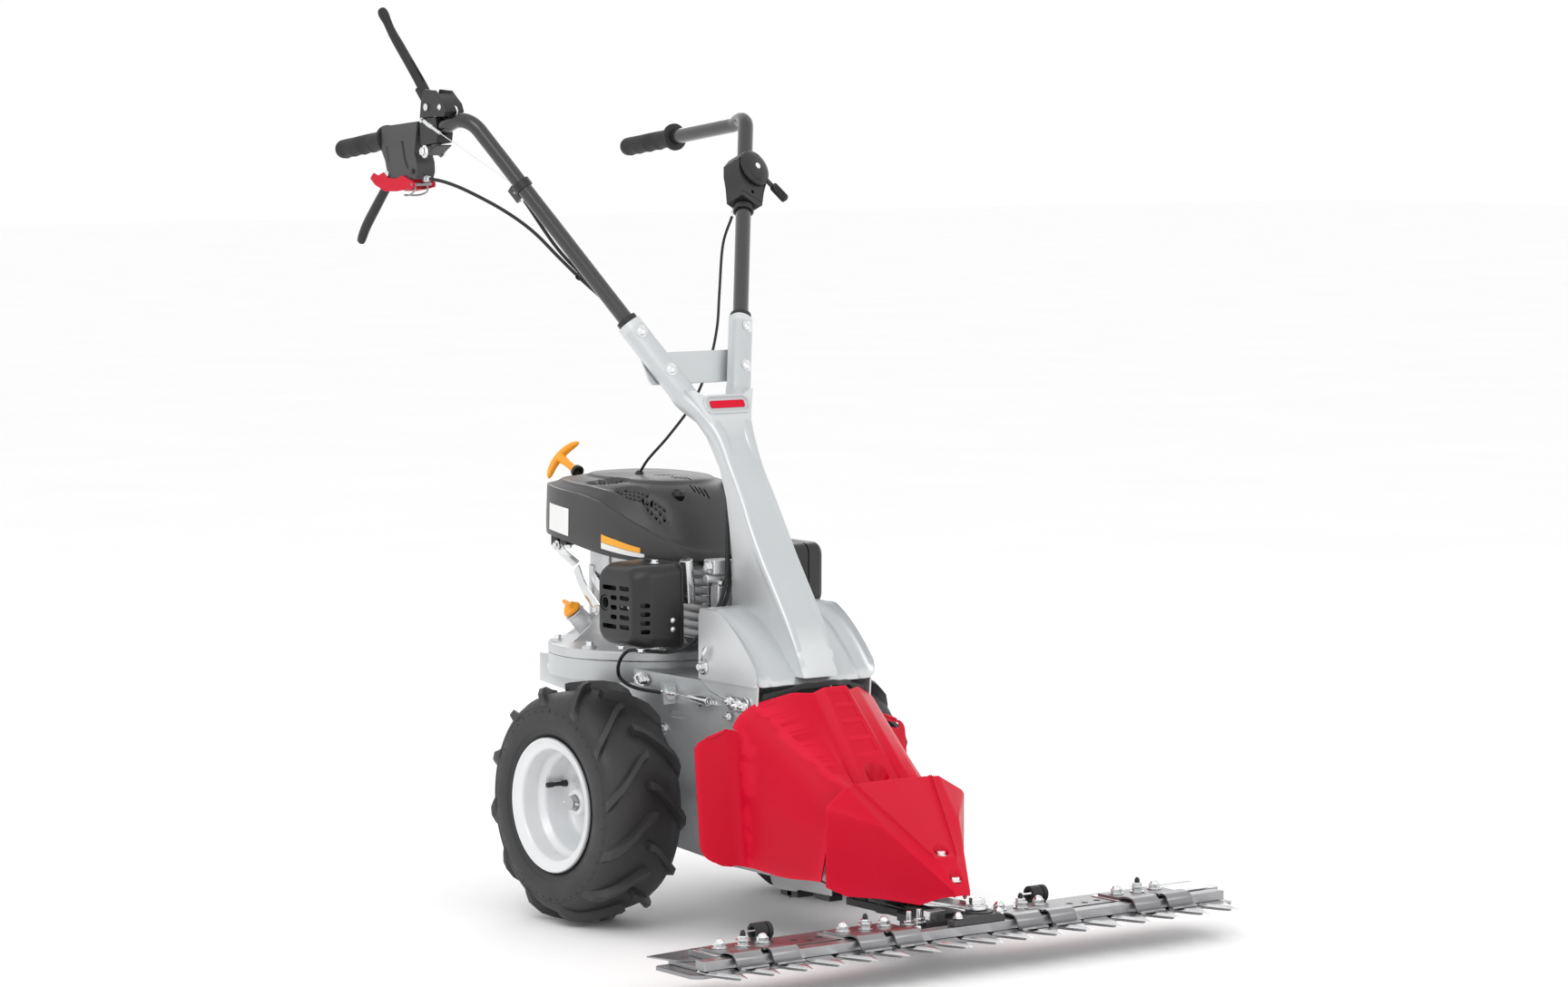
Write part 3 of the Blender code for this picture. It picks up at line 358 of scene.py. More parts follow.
def make_look(name, slot, color, roughness, metallic=0.0, tint=0.1, blotch=14.0, grain=900.0, bump=0.1,
              depth=0.0002, spread=0.08, worn=None, wear=0.5, streak=None, clear=0.0, cells=0.0, shine=0.5):
    """A painted, moulded or metal surface: blotchy colour, uneven gloss, a fine grain and worn edges."""
    look = bpy.data.materials.new(name)
    look.use_nodes = True
    look["slot"] = slot
    tree = look.node_tree
    shader = tree.nodes["Principled BSDF"]
    place = new_node(tree, "ShaderNodeTexCoord").outputs["Object"]
    if streak:
        scaled = new_node(tree, "ShaderNodeMapping", Vector=place, Scale=streak).outputs[0]
    else:
        scaled = place
    broad = new_node(tree, "ShaderNodeTexNoise", Vector=place, Scale=blotch, Detail=4.0).outputs["Fac"]
    fine = new_node(tree, "ShaderNodeTexNoise", Vector=scaled, Scale=grain, Detail=2.0).outputs["Fac"]
    base = ramp(tree, broad, [(0.35, tinted(color, -tint)), (0.65, tinted(color, tint))])
    speck = ramp(tree, fine, [(0.35, tinted(color, -tint * 1.6)), (0.65, tinted(color, tint * 1.6))])
    paint = blended(tree, 0.35, base, speck)
    if worn:
        edge = new_node(tree, "ShaderNodeNewGeometry").outputs["Pointiness"]
        rim = ramp(tree, edge, [(0.5, 0.0), (0.6, wear)])
        paint = blended(tree, rim, paint, worn)
    tree.links.new(paint, shader.inputs["Base Color"])
    gloss = ramp(tree, broad, [(0.3, max(roughness - spread, 0.03)), (0.7, min(roughness + spread, 1.0))])
    tree.links.new(gloss, shader.inputs["Roughness"])
    shader.inputs["Metallic"].default_value = metallic
    shader.inputs["Specular IOR Level"].default_value = shine
    shader.inputs["Coat Weight"].default_value = clear
    shader.inputs["Coat Roughness"].default_value = 0.12
    height = fine
    if cells:
        height = new_node(tree, "ShaderNodeTexVoronoi", Vector=place, Scale=cells).outputs["Distance"]
    raised = new_node(tree, "ShaderNodeBump", Strength=bump, Distance=depth, Height=height).outputs[0]
    tree.links.new(raised, shader.inputs["Normal"])
    return look


SILVER = make_look("silver_paint_look", "silver_paint", (0.53, 0.55, 0.56), 0.36, 0.55, tint=0.04, blotch=9,
                   grain=2600, bump=0.12, depth=0.0001, worn=(0.78, 0.79, 0.8), wear=0.5)
RED = make_look("red_plastic_look", "red_plastic", (0.56, 0.0005, 0.02), 0.36, tint=0.05, blotch=7, grain=1800,
                bump=0.1, depth=0.0001, worn=(0.74, 0.012, 0.045), wear=0.5, shine=0.16)
# The rims' own silver paint made brighter: painted light that makes up for the shade the tyre casts on the dish.
RIM_LIT_SILVER = make_look("rim_lit_silver_look", "silver_paint", (0.78, 0.79, 0.8), 0.38, 0.25, tint=0.04, blotch=9,
                      grain=1500, bump=0.1, depth=0.0001)
GREY = make_look("grey_plastic_look", "grey_plastic", (0.04, 0.04, 0.042), 0.42, tint=0.08, blotch=12, grain=2200,
                 bump=0.35, depth=0.00015, worn=(0.06, 0.06, 0.063), wear=0.5)
BLACK = make_look("black_plastic_look", "black_plastic", (0.009, 0.009, 0.01), 0.4, tint=0.12, blotch=16,
                  grain=2000, bump=0.3, depth=0.00015, worn=(0.03, 0.03, 0.032), wear=0.4)
PAINT = make_look("black_paint_look", "black_paint", (0.004, 0.004, 0.0045), 0.25, tint=0.1, blotch=10, grain=1500,
                  bump=0.06, depth=0.0001, worn=(0.05, 0.05, 0.055), wear=0.4, clear=0.7)
RUBBER = make_look("rubber_look", "rubber", (0.01, 0.01, 0.0105), 0.62, tint=0.15, blotch=20, grain=1400, bump=0.4,
                   depth=0.0002, worn=(0.03, 0.03, 0.031), wear=0.4)
TYRE = make_look("tyre_look", "tyre", (0.017, 0.017, 0.018), 0.5, tint=0.2, blotch=22, grain=900, bump=0.45,
                 depth=0.0003, worn=(0.05, 0.05, 0.053), wear=0.6)
ZINC = make_look("zinc_look", "zinc", (0.74, 0.75, 0.76), 0.24, 0.95, tint=0.06, blotch=60, grain=1600, bump=0.1,
                 depth=0.0001, worn=(0.92, 0.92, 0.92), wear=0.5)
CAST = make_look("cast_aluminium_look", "cast_aluminium", (0.56, 0.57, 0.58), 0.4, 0.8, tint=0.1, blotch=30,
                 grain=1200, bump=0.55, depth=0.0003, worn=(0.85, 0.85, 0.86), wear=0.6, cells=700)
STEEL = make_look("dark_steel_look", "dark_steel", (0.13, 0.13, 0.135), 0.32, 0.85, tint=0.22, blotch=26, grain=1000,
                  bump=0.22, depth=0.0002, worn=(0.55, 0.55, 0.56), wear=0.8)
BLADE = make_look("blade_steel_look", "blade_steel", (0.42, 0.42, 0.43), 0.22, 0.95, tint=0.14, blotch=24, grain=260,
                  bump=0.25, depth=0.0002, worn=(0.85, 0.85, 0.86), wear=0.8, streak=(0.06, 1.0, 1.0))
ORANGE = make_look("orange_plastic_look", "orange_plastic", (0.95, 0.36, 0.012), 0.36, tint=0.06, blotch=14,
                   grain=1600, bump=0.15, depth=0.0001, worn=(1.0, 0.5, 0.06), wear=0.4)
IRON = make_look("cast_iron_look", "cast_iron", (0.016, 0.016, 0.017), 0.48, 0.25, tint=0.15, blotch=26, grain=900,
                 bump=0.6, depth=0.0004, worn=(0.12, 0.12, 0.125), wear=0.6, cells=520)
LABEL = make_look("label_look", "silver_paint", (0.82, 0.82, 0.81), 0.45, tint=0.03, blotch=60, grain=1500, bump=0.05,
                  depth=0.00005)
LOOKS = {look["slot"]: look for look in (SILVER, RED, GREY, BLACK, PAINT, RUBBER, TYRE, ZINC, CAST, STEEL, BLADE,
                                         ORANGE, IRON)}


def dress_cad_nodes():
    """Every CAD node takes the look of its own material slot."""
    slots = {row["node"]: row["material_slot"] for row in frame["record"]["subparts"]}
    for name, node in frame["nodes"].items():
        node.data.materials.clear()
        node.data.materials.append(LOOKS[slots[name]])


# Wheels

WHEEL_X, AXLE_Z = 0.195, 0.165
TOP_R, LUGS_PER_SIDE, SIDEWALL_MARKS = 0.1647, 12, 48
CARCASS = [(0.0, 0.153), (0.018, 0.1528), (0.034, 0.1518), (0.047, 0.149), (0.0555, 0.144), (0.06, 0.138),
           (0.0608, 0.1352), (0.0602, 0.1342), (0.0608, 0.1332), (0.062, 0.126), (0.0624, 0.117), (0.0616, 0.1085),
           (0.0608, 0.1045), (0.0598, 0.1035), (0.0594, 0.1005), (0.0575, 0.0965), (0.054, 0.0935), (0.0537, 0.0795)]
LINING = [(0.042, 0.0795), (0.05, 0.12), (0.03, 0.143)]


def carcass_point(share):
    """A point (x, r) of the tread half's profile and its outward normal, from the centre line to the shoulder."""
    half = CARCASS[:7]
    lengths = [math.dist(a, b) for a, b in zip(half, half[1:])]
    left = share * sum(lengths)
    for (a, b), length in zip(zip(half, half[1:]), lengths):
        if left <= length + 1e-9:
            t = left / length
            break
        left -= length
    tangent = ((b[0] - a[0]) / length, (b[1] - a[1]) / length)
    normal = (-tangent[1], tangent[0]) if tangent[0] > 0 else (-tangent[1], tangent[0])
    return (mix(a[0], b[0], t), mix(a[1], b[1], t)), normal


def make_lug(hand, angle):
    """One bar of the tread: it starts past the centre line, bends back and flares onto the shoulder."""
    rings = []
    for share in (-0.06, 0.1, 0.3, 0.5, 0.68, 0.82, 0.92, 1.0):
        (x, r), (nx, nr) = carcass_point(abs(share))
        x = math.copysign(x, share) if share else 0
        height = min(mix(0.0117, 0.0115, share), (TOP_R - r) / max(nr, 0.3))
        height *= 1 - ease(0.72, 1.02, share) * 0.95
        turn = angle + math.radians(25) * (max(share, 0) ** 1.15)
        flare = ease(0.45, 0.95, share)
        foot, crown = mix(0.0066, 0.0125, flare), mix(0.0049, 0.006, flare)
        ring = []
        for wide, lift in ((-foot, -0.0025), (-crown, height), (crown, height), (foot, -0.0025)):
            radius = r + nr * lift
            a = turn + wide / radius
            ring.append((hand * (x + nx * lift), radius * math.cos(a), radius * math.sin(a)))
        rings.append(ring)
    return skin(rings)


def make_tyre(side):
    """The tyre's carcass with its lining, the bars of its tread and a ring of short marks on each wall."""
    profile = [(-x, r) for x, r in CARCASS[:0:-1]] + CARCASS + LINING + [(-x, r) for x, r in LINING[::-1]]
    parts = [moved(revolve(profile, 96), turn_to(X))]
    pitch = FULL / LUGS_PER_SIDE
    for hand in (1, -1):
        for k in range(LUGS_PER_SIDE):
            parts.append(make_lug(hand, pitch * (k + (0.5 if hand > 0 else 0))))
        for k in range(SIDEWALL_MARKS):
            turn = FULL * k / SIDEWALL_MARKS
            tall = 0.003 if k % 4 else 0.0065
            dash = block((-0.0006, -0.0004, -tall / 2), (0.0006, 0.0004, tall / 2))
            seat = Vector((hand * 0.0617, 0, 0.1285))
            parts.append(moved(dash, Matrix.Rotation(turn, 4, "X") @ Matrix.Translation(seat)))
    tyre = moved(joined(*parts), Matrix.Translation((side * WHEEL_X, 0, AXLE_Z)))
    name = "tyre_" + HAND[side]
    piece(name + "_tread", tyre, TYRE, "wheel_" + HAND[side], (name,), bevel=0.0008, steps=2, angle=40)


def make_rim(side):
    """A pressed rim: rolled lip, bead seat, stepped barrel and a dished disc with a hub."""
    lip_in = [(-0.0565, 0.089), (-0.058, 0.0905), (-0.057, 0.092), (-0.0545, 0.091), (-0.054, 0.0785),
              (-0.0345, 0.0762), (-0.0265, 0.068)]
    lip_out = [(0.0205, 0.068), (0.0285, 0.0762), (0.054, 0.0785), (0.0545, 0.09), (0.057, 0.092),
               (0.06, 0.0927), (0.0622, 0.0912), (0.062, 0.0888), (0.0598, 0.0872)]
    dish = [(0.058, 0.0835), (0.057, 0.078), (0.0552, 0.0762), (0.052, 0.0756), (0.033, 0.0742), (0.0295, 0.0728),
            (0.0262, 0.069), (0.0235, 0.0664), (0.0195, 0.0656), (-0.003, 0.0652), (-0.0105, 0.0636),
            (-0.015, 0.06), (-0.0172, 0.055), (-0.0178, 0.048), (-0.015, 0.0445), (-0.0142, 0.04),
            (-0.015, 0.023), (-0.0142, 0.02)]
    bore = 0.0104
    hub = [(0.015, 0.0192), (0.019, 0.018), (0.0205, 0.0165), (0.0205, bore + 0.001), (0.0195, bore),
           (-0.0645, bore), (-0.0645, 0.018), (-0.024, 0.018), (-0.024, 0.063), (-0.036, 0.073),
           (-0.054, 0.075)]
    rim = revolve(lip_in + lip_out + dish + hub, 96, X * side, (side * WHEEL_X, 0, AXLE_Z))
    valve_at = Vector((side * (WHEEL_X - 0.004), 0.056, AXLE_Z + 0.018))
    valve = revolve([(0, 0), (0, 0.005), (0.006, 0.0042), (0.007, 0.003), (0.022, 0.0028), (0.023, 0.0038),
                     (0.032, 0.0036), (0.033, 0)], 16, X * side, valve_at)
    name = "rim_" + HAND[side]
    body = "wheel_" + HAND[side]
    # The dish wears the brightened silver: painted light over the shade from the tyre.
    piece(name + "_dish", rim, RIM_LIT_SILVER, body, (name,), sharp=50)
    piece("valve_stem_" + HAND[side], valve, RUBBER, body, sharp=40)


# Fasteners and other small parts

def hex_head(seat, axis, radius, height, count=6):
    """A bolt head or nut: chamfered at the top, on a thin washer."""
    washer = revolve([(0, 0), (0, radius * 1.45), (radius * 0.18, radius * 1.45), (radius * 0.18, 0)], 28, axis, seat)
    low = radius * 0.18
    head = revolve([(low, 0), (low, radius), (low + height * 0.86, radius), (low + height, radius * 0.86),
                    (low + height, 0)], count, axis, seat)
    return joined(washer, head)


def bolt_row(name, seats, axis, radius, height):
    """A numbered bolt or nut at each seat."""
    for k, seat in enumerate(seats):
        piece("%s_%d" % (name, k), hex_head(seat, axis, radius, height), ZINC)


def dome_bolt(seat, axis, radius, height=None):
    """A domed head on a thin flange."""
    height = height or radius * 0.7
    profile = [(0, 0), (0, radius * 1.2), (radius * 0.14, radius * 1.2), (radius * 0.18, radius)]
    profile += [(radius * 0.18 + height * math.sin(a), radius * math.cos(a)) for a in (0.3, 0.6, 0.9, 1.2)]
    return revolve(profile + [(radius * 0.18 + height, 0)], 24, axis, seat)


def plate(outline, thick, centre, normal, up):
    """A thin plate whose front face stands thick off the centre, along the normal."""
    return prism(outline, 0, thick, normal, centre, up)


def ring_of(inner, outer, thick, axis, centre, count=24):
    """A flat ring that starts at the centre and grows along the axis."""
    return revolve([(0, inner), (0, outer), (thick, outer), (thick, inner)], count, axis, centre)


# Hood

HOOD_WALL = 0.0025
SPINE_REAR, SPINE_FRONT = Vector((0, -0.3035, 0.34)), Vector((0, -0.4275, 0.197))
CREASE_REAR, CREASE_FRONT = Vector((-0.0957, -0.254, 0.319)), Vector((-0.0564, -0.4275, 0.2106))
STRIP_REAR, STRIP_FRONT = 0.0187, 0.032
SQUARES = [(0.051, 0.138), (0.175, 0.271), (0.308, 0.418), (0.455, 0.561)]
SCOOP = (0.745, 0.0185)


def along_points(points, shares):
    """Points at shares of the way along a polyline, by length."""
    points = [Vector(p) for p in points]
    steps = [(b - a).length for a, b in zip(points, points[1:])]
    total, out = sum(steps), []
    for share in shares:
        left = share * total
        for a, b, step in zip(points, points[1:], steps):
            if left <= step + 1e-9:
                break
            left -= step
        out.append(a.lerp(b, min(left / step, 1)))
    return out


def sheet_of(rows):
    """An open surface through a grid of points."""
    bm = bmesh.new()
    grid = [[bm.verts.new(p) for p in row] for row in rows]
    for low, high in zip(grid, grid[1:]):
        for k in range(len(low) - 1):
            bm.faces.new((low[k], low[k + 1], high[k + 1], high[k]))
    return bm


def thickened(bm, wall, merge=0.00002):
    """The surface as a closed shell whose outer skin stays where it was drawn."""
    bmesh.ops.remove_doubles(bm, verts=bm.verts, dist=merge)
    bmesh.ops.recalc_face_normals(bm, faces=bm.faces)
    obj = linked("temporary", bm)
    step = obj.modifiers.new("wall", "SOLIDIFY")
    step.thickness = wall
    step.offset = -1
    step.use_even_offset = False
    return worked_out(obj)


def both_halves(*parts):
    """Open surfaces of the right half with their mirror image across x = 0."""
    half = joined(*parts, as_drawn=True)
    twin = half.copy()
    bmesh.ops.scale(twin, verts=twin.verts, vec=(-1, 1, 1))
    bmesh.ops.reverse_faces(twin, faces=twin.faces)
    return joined(half, twin, as_drawn=True)


def steps_with(marks, count, margin=0.0008):
    """Even steps from 0 to 1 with close pairs at each mark, so that a step in the surface stays crisp."""
    found = {k / count for k in range(count + 1)}
    for mark in marks:
        found -= {f for f in found if abs(f - mark) < 0.6 / count and 0 < f < 1}
        found |= {mark - margin, mark + margin}
    return sorted(f for f in found if 0 <= f <= 1)


def pocket_drop(distance_back, across, radius, slope):
    """How far a bolt pocket with a level floor sinks below a sloping face: deepest on the uphill side."""
    reach = math.hypot(distance_back, across)
    if reach >= radius:
        return 0.0
    floor = (distance_back + radius) * slope
    return floor * ease(radius, radius * 0.72, reach) if reach > radius * 0.72 else floor


def make_hood_main():
    """The fixed part of the hood: a raised spine, creased facets, side panels and wings."""
    marks = [edge for square in SQUARES for edge in square]
    stations = steps_with(marks, 56)
    length = (SPINE_FRONT - SPINE_REAR).length
    slope = (SPINE_REAR.z - SPINE_FRONT.z) / length
    columns = [0.0, 0.16, 0.32, 0.48, 0.6, 0.7, 0.72, 0.74, 0.86, 1.0]
    rows = []
    for t in stations:
        spine = SPINE_REAR.lerp(SPINE_FRONT, t)
        crease = CREASE_REAR.lerp(CREASE_FRONT, t)
        half = mix(STRIP_REAR, STRIP_FRONT, t)
        ahead = mix(0.008, 0, t)
        foot = Vector((-half - mix(0.012, 0.009, t), spine.y + ahead, spine.z - 0.0075))
        crest = foot.lerp(crease, mix(0.38, 0.3, t)) + Vector((0, -0.0024, 0.0062))
        row = []
        for share in columns:
            x = half * share
            drop = 0.0014 if share < 0.71 and any(low < t < high for low, high in SQUARES) else 0.0
            drop += pocket_drop((SCOOP[0] - t) * length, x, SCOOP[1], slope)
            row.append(Vector((-x, spine.y, spine.z - drop)))
        side = [row[-1], foot, crest, crease]
        bent = [row[-1]] + [p for a, b, c in zip(side, side[1:], side[2:])
                            for p in (b.lerp(a, 0.2), b.lerp(a, 0.07).lerp(b.lerp(c, 0.06), 0.5), b.lerp(c, 0.12))]
        row += bent[1:] + [crease.lerp(crest, 0.05), crease]
        rows.append(row)
    top = sheet_of(rows)

    def front_column(v):
        return along_points([CREASE_FRONT, (-0.088, -0.4275, 0.186), (-0.106, -0.4275, 0.16),
                             (-0.118, -0.4275, 0.104)], [v])[0]

    def rear_column(v):
        return along_points([CREASE_REAR, (-0.107, -0.249, 0.312), (-0.118, -0.243, 0.301),
                             (-0.125, -0.24, 0.285), (-0.1256, -0.252, 0.2), (-0.125, -0.264, 0.1035)],
                            [v])[0]

    wing_top, fold = 0.2, 0.1
    side_rows, wing_rows, gusset_rows = [], [], []
    for v in (k / 25 for k in range(26)):
        front, rear = front_column(v), rear_column(v)
        dip = Vector((0, 0, -0.0065 * ease(0.55, 1.0, v)))
        row = [front.lerp(rear, u * (1 - fold)) + dip * math.sin(math.pi * u) ** 2 * 0.6
               for u in (k / 12 for k in range(13))]
        side_rows.append(row)
        if v <= wing_top + 0.0001:
            gusset_rows.append([row[-1], front.lerp(rear, 1 - fold / 2), rear])
    corner_top, corner_low, wing_width = 0.018, 0.03, 0.053
    rear_top, rear_low = rear_column(wing_top), rear_column(1)
    height = rear_top.z - rear_low.z
    for k in range(33):
        v = wing_top + (1 - wing_top) * (1 - math.cos(math.pi * k / 32)) / 2
        front, rear = front_column(v), rear_column(v)
        start = front.lerp(rear, 1 - fold)
        from_top = height * (v - wing_top) / (1 - wing_top)
        width = wing_width
        for reach, radius in ((from_top, corner_top), (height - from_top, corner_low)):
            if reach < radius:
                width -= radius - math.sqrt(max(radius ** 2 - (radius - reach) ** 2, 0))
        share = (v - wing_top) / (1 - wing_top)
        outer = rear + Vector((-width, mix(0.011, 0.02, share) * width / wing_width, mix(-0.013, 0.004, share)))
        wing_rows.append(along_points(filleted([start, rear, outer], 0.012, 6), [q / 14 for q in range(15)]))
    shell = both_halves(top, sheet_of(side_rows), sheet_of(gusset_rows), sheet_of(wing_rows))
    hood = thickened(shell, HOOD_WALL, 0.0003)
    slot = prism(rounded(0.034, 0.0075, 0.0036), -0.06, 0.06, Y, (0.15, -0.235, 0.269), (0.22, 0, 1))
    piece("hood_shell", cut(hood, slot), RED, "frame", ("hood_main",), sharp=28)


def keyed(line, t):
    """The point at t on a line given as {key: point}."""
    keys = sorted(line)
    for low, high in zip(keys, keys[1:]):
        if t <= high:
            return Vector(line[low]).lerp(Vector(line[high]), (t - low) / (high - low))
    return Vector(line[keys[-1]])


PLATE_MID = {0: (0, -0.4285, 0.2295), 0.78: (0, -0.5425, 0.1398), 1: (0, -0.5757, 0.102)}
PLATE_EDGE = {0: (-0.0605, -0.4285, 0.2285), 0.78: (-0.014, -0.5425, 0.1393), 1: (-0.011, -0.5757, 0.1015)}
SHOULDER = {0: (-0.078, -0.43, 0.227), 0.36: (-0.064, -0.489, 0.18), 1: (-0.013, -0.5757, 0.101)}
NOSE_CREASE = {0: (-0.116, -0.436, 0.204), 0.36: (-0.0642, -0.4892, 0.1798), 1: (-0.013, -0.5757, 0.1008)}
HEM = {0: (-0.116, -0.436, 0.098), 0.15: (-0.0975, -0.4566, 0.087), 0.36: (-0.067, -0.4915, 0.0855),
       0.68: (-0.038, -0.536, 0.0805), 0.88: (-0.022, -0.561, 0.0915), 1: (-0.013, -0.575, 0.0945)}
NOSE_POCKETS = ((0.705, 0.012), (0.905, 0.01))


def make_hood_nose():
    """The removable front of the hood: a plate between raised beads, two bolt pockets and folded sides."""
    rows = []
    for t in steps_with((0.775, 0.36), 100):
        mid, edge, shoulder, fold, low = (keyed(line, t)
                                          for line in (PLATE_MID, PLATE_EDGE, SHOULDER, NOSE_CREASE, HEM))
        row = []
        for k in range(25):
            point = mid.lerp(edge, k / 24)
            for at, radius in NOSE_POCKETS:
                point.z -= pocket_drop((at - t) * 0.196, point.x, radius, 0.8)
            point += Vector((0, -0.0012, 0.002)) * math.exp(-((t - 0.782) / 0.007) ** 2)
            row.append(point)
        bead = Vector((0, -0.0012, 0.0022)) * (1 - ease(0.74, 0.8, t))
        gap = max((shoulder - edge).length, 0.001)
        for lane, lift in ((0.001, 0.6), (0.0022, 1), (0.0034, 0.3), (0.0046, 1), (0.0058, 0.2)):
            row.append(edge.lerp(shoulder, min(lane / gap, 0.5)) + bead * lift)
        row += [edge.lerp(shoulder, 0.72), edge.lerp(shoulder, 0.93) + Z * 0.0008, shoulder.lerp(fold, 0.08)]
        row += [shoulder.lerp(fold, 0.5), fold.lerp(shoulder, 0.1), fold.lerp(low, 0.03)]
        row += [fold.lerp(low, share) for share in (0.1, 0.3, 0.55, 0.8, 1.0)]
        rows.append(row)
    last = rows[-1]
    front = [last, [Vector((p.x, min(p.y, -0.5762), p.z - 0.0012)) for p in last],
             [Vector((p.x, min(p.y, -0.5755), 0.0945)) for p in last]]
    nose = thickened(both_halves(sheet_of(rows), sheet_of(front)), HOOD_WALL, 0.0003)
    piece("hood_nose_shell", nose, RED, "frame", ("hood_nose",), sharp=30)
    for at, radius in NOSE_POCKETS:
        seat = keyed(PLATE_MID, at) + Vector((0, 0.001, -0.0068))
        piece("nose_bolt_%d" % (at * 1000), hex_head(seat, Z, 0.006, 0.0045), ZINC)


# Mast, chassis and handlebar tubes

TUBE_R, TUBE_SIDES = 0.011, 28
TUBE_FOOT, TUBE_BEND = Vector((0.0559, -0.0104, 0.7375)), Vector((0.2401, 0.2228, 1.103))
GRIP_LINE, TUBE_TIP = Vector((0.249, 0.262, 1.0855)), Vector((0.249, 0.53, 1.0515))
COLUMN = [(0.35, 0.0295, -0.276, -0.113), (0.38, 0.031, -0.263, -0.113), (0.42, 0.0315, -0.24, -0.113),
          (0.46, 0.031, -0.213, -0.113), (0.5, 0.0315, -0.184, -0.113), (0.54, 0.031, -0.158, -0.107),
          (0.58, 0.0285, -0.134, -0.096), (0.62, 0.027, -0.108, -0.078), (0.66, 0.0265, -0.083, -0.048),
          (0.7, 0.043, -0.062, -0.022), (0.725, 0.0545, -0.0495, -0.01)]
RIB = [(0.0438, -0.0257, 0.7134, 0.0165), (0.03, -0.05, 0.69, 0.014), (0.0225, -0.075, 0.66, 0.0105),
       (0.0215, -0.099, 0.62, 0.0085), (0.0225, -0.126, 0.58, 0.008), (0.0245, -0.15, 0.54, 0.0078),
       (0.025, -0.176, 0.5, 0.0076), (0.025, -0.205, 0.46, 0.0074), (0.025, -0.233, 0.42, 0.007),
       (0.0245, -0.256, 0.38, 0.0066), (0.0235, -0.269, 0.352, 0.006)]


def tube_frame(side):
    """The tube's direction above the mast and the outward normal of its front."""
    along = (on_side(TUBE_BEND, side) - on_side(TUBE_FOOT, side)).normalized()
    return along, (along * along.y - Y).normalized()


def rib_ring(centre, along, front, half, face, back):
    """A half-round section: round in front, flat behind."""
    across = along.cross(front).normalized()
    ring = [centre + across * (half * math.cos(a)) + front * (face * math.sin(a) ** 0.8)
            for a in (math.pi * k / 12 for k in range(13))]
    return ring + [centre - across * half - front * back, centre + across * half - front * back]


def make_mast():
    """A pressed column that forks into two half-round arms, on a skirt over the front of the chassis."""
    edge = 0.006
    rings = []
    for z, w, front, rear in COLUMN:
        corners = [(w, rear)] + [(w - edge + edge * math.cos(a), front + edge - edge * math.sin(a))
                                 for a in (math.pi / 2 * k / 4 for k in range(5))]
        corners += [(-x, y) for x, y in reversed(corners)]
        rings.append([(x, y, z) for x, y in corners])
    column = cut(skin(rings), rod((0, -0.14, 0.795), (0, 0.06, 0.795), 0.084, 48))
    parts = [column]
    for side in (RIGHT, LEFT):
        along, front = tube_frame(side)
        foot = on_side(TUBE_FOOT, side)
        stations = [(*(foot + along * s), 0.017, 0.0155, 0.006) for s in (0.1, 0.07, 0.04, 0.01, -0.015)]
        stations += [(*on_side(p[:3], side), p[3], p[3] * 0.92, p[3] * 0.5) for p in RIB]
        path = smooth(stations, 70)
        arm = []
        for k, at in enumerate(path):
            ahead = Vector(path[max(k - 1, 0)][:3]) - Vector(path[min(k + 1, len(path) - 1)][:3])
            ahead.normalize()
            normal = -Y - ahead * -ahead.y
            arm.append(rib_ring(Vector(at[:3]), ahead, normal.normalized(), at[3], at[4], at[5]))
        bore = rod(foot + along * 0.004, foot + along * 0.2, 0.0118, 28)
        parts.append(cut(skin(arm), bore))
        for s in (0.0798, 0.013):
            piece("arm_bolt_%s_%d" % (HAND[side], s * 10000),
                  dome_bolt(foot + along * s + front * 0.0148, front, 0.0075, 0.0045), ZINC)
        piece("arm_clamp_" + HAND[side], ring_of(0.0113, 0.015, 0.008, along, foot + along * 0.1, 32), BLACK,
              bevel=0.0008)
    parts.append(make_skirt())
    piece("mast_pressing", joined(*parts), SILVER, "frame", ("mast",), bevel=0.001, steps=2, angle=45)
    up = Vector((0, 0.465, 0.885))
    face = Vector((0, -0.885, 0.465))
    seat = Vector((0, -0.0592, 0.7055)) - face * 0.001
    rim = cut(plate(rounded(0.078, 0.028, 0.012), 0.0034, seat, face, up),
              prism(rounded(0.07, 0.021, 0.009), 0.0014, 0.01, face, seat, up))
    piece("badge_rim", rim, SILVER, bevel=0.0007)
    piece("badge_plate", plate(rounded(0.058, 0.011, 0.003), 0.0026, seat, face, up), RED, bevel=0.0005)


def make_skirt():
    """The mast's foot: a bulged cover with an embossed arc near each side and rounded shoulders."""
    profile = [(-0.13, 0.436), (-0.15, 0.431), (-0.19, 0.411), (-0.228, 0.379), (-0.262, 0.3405)]
    curve = smooth([(y, z, 0) for y, z in profile], 22)
    half, shoulder = 0.1, 0.014
    stations = [-half, -0.0992, -0.0975, -0.0945, -0.0905, -0.086, -0.083, -0.08, -0.077, -0.0735, -0.068, -0.056]
    stations += [-0.04] + [0.0] + [0.04] + [-x for x in reversed(stations)]
    rings = []
    for x in stations:
        reach = max(abs(x) - (half - shoulder), 0)
        sink = shoulder - math.sqrt(shoulder ** 2 - reach ** 2)
        ridge = 0.0028 * math.exp(-((abs(x) - 0.079) / 0.0042) ** 2)
        hollow = 0.005 * math.exp(-((abs(x) - 0.054) / 0.016) ** 2)
        ring = []
        for k, p in enumerate(curve):
            ahead = curve[min(k + 1, len(curve) - 1)] - curve[max(k - 1, 0)]
            out = Vector((ahead.y, -ahead.x, 0)).normalized() * -1
            fade = math.sin(math.pi * min(max(k / (len(curve) - 1), 0.06), 0.94)) ** 0.5
            at = p + out * ((ridge - hollow) * fade - sink)
            ring.append((x, max(at.x, -0.262), min(max(at.y, 0.3405), 0.436)))
        rings.append(ring + [(x, -0.262 + sink, 0.3405), (x, -0.13, 0.3405), (x, -0.13, 0.436 - sink)])
    return skin(rings)


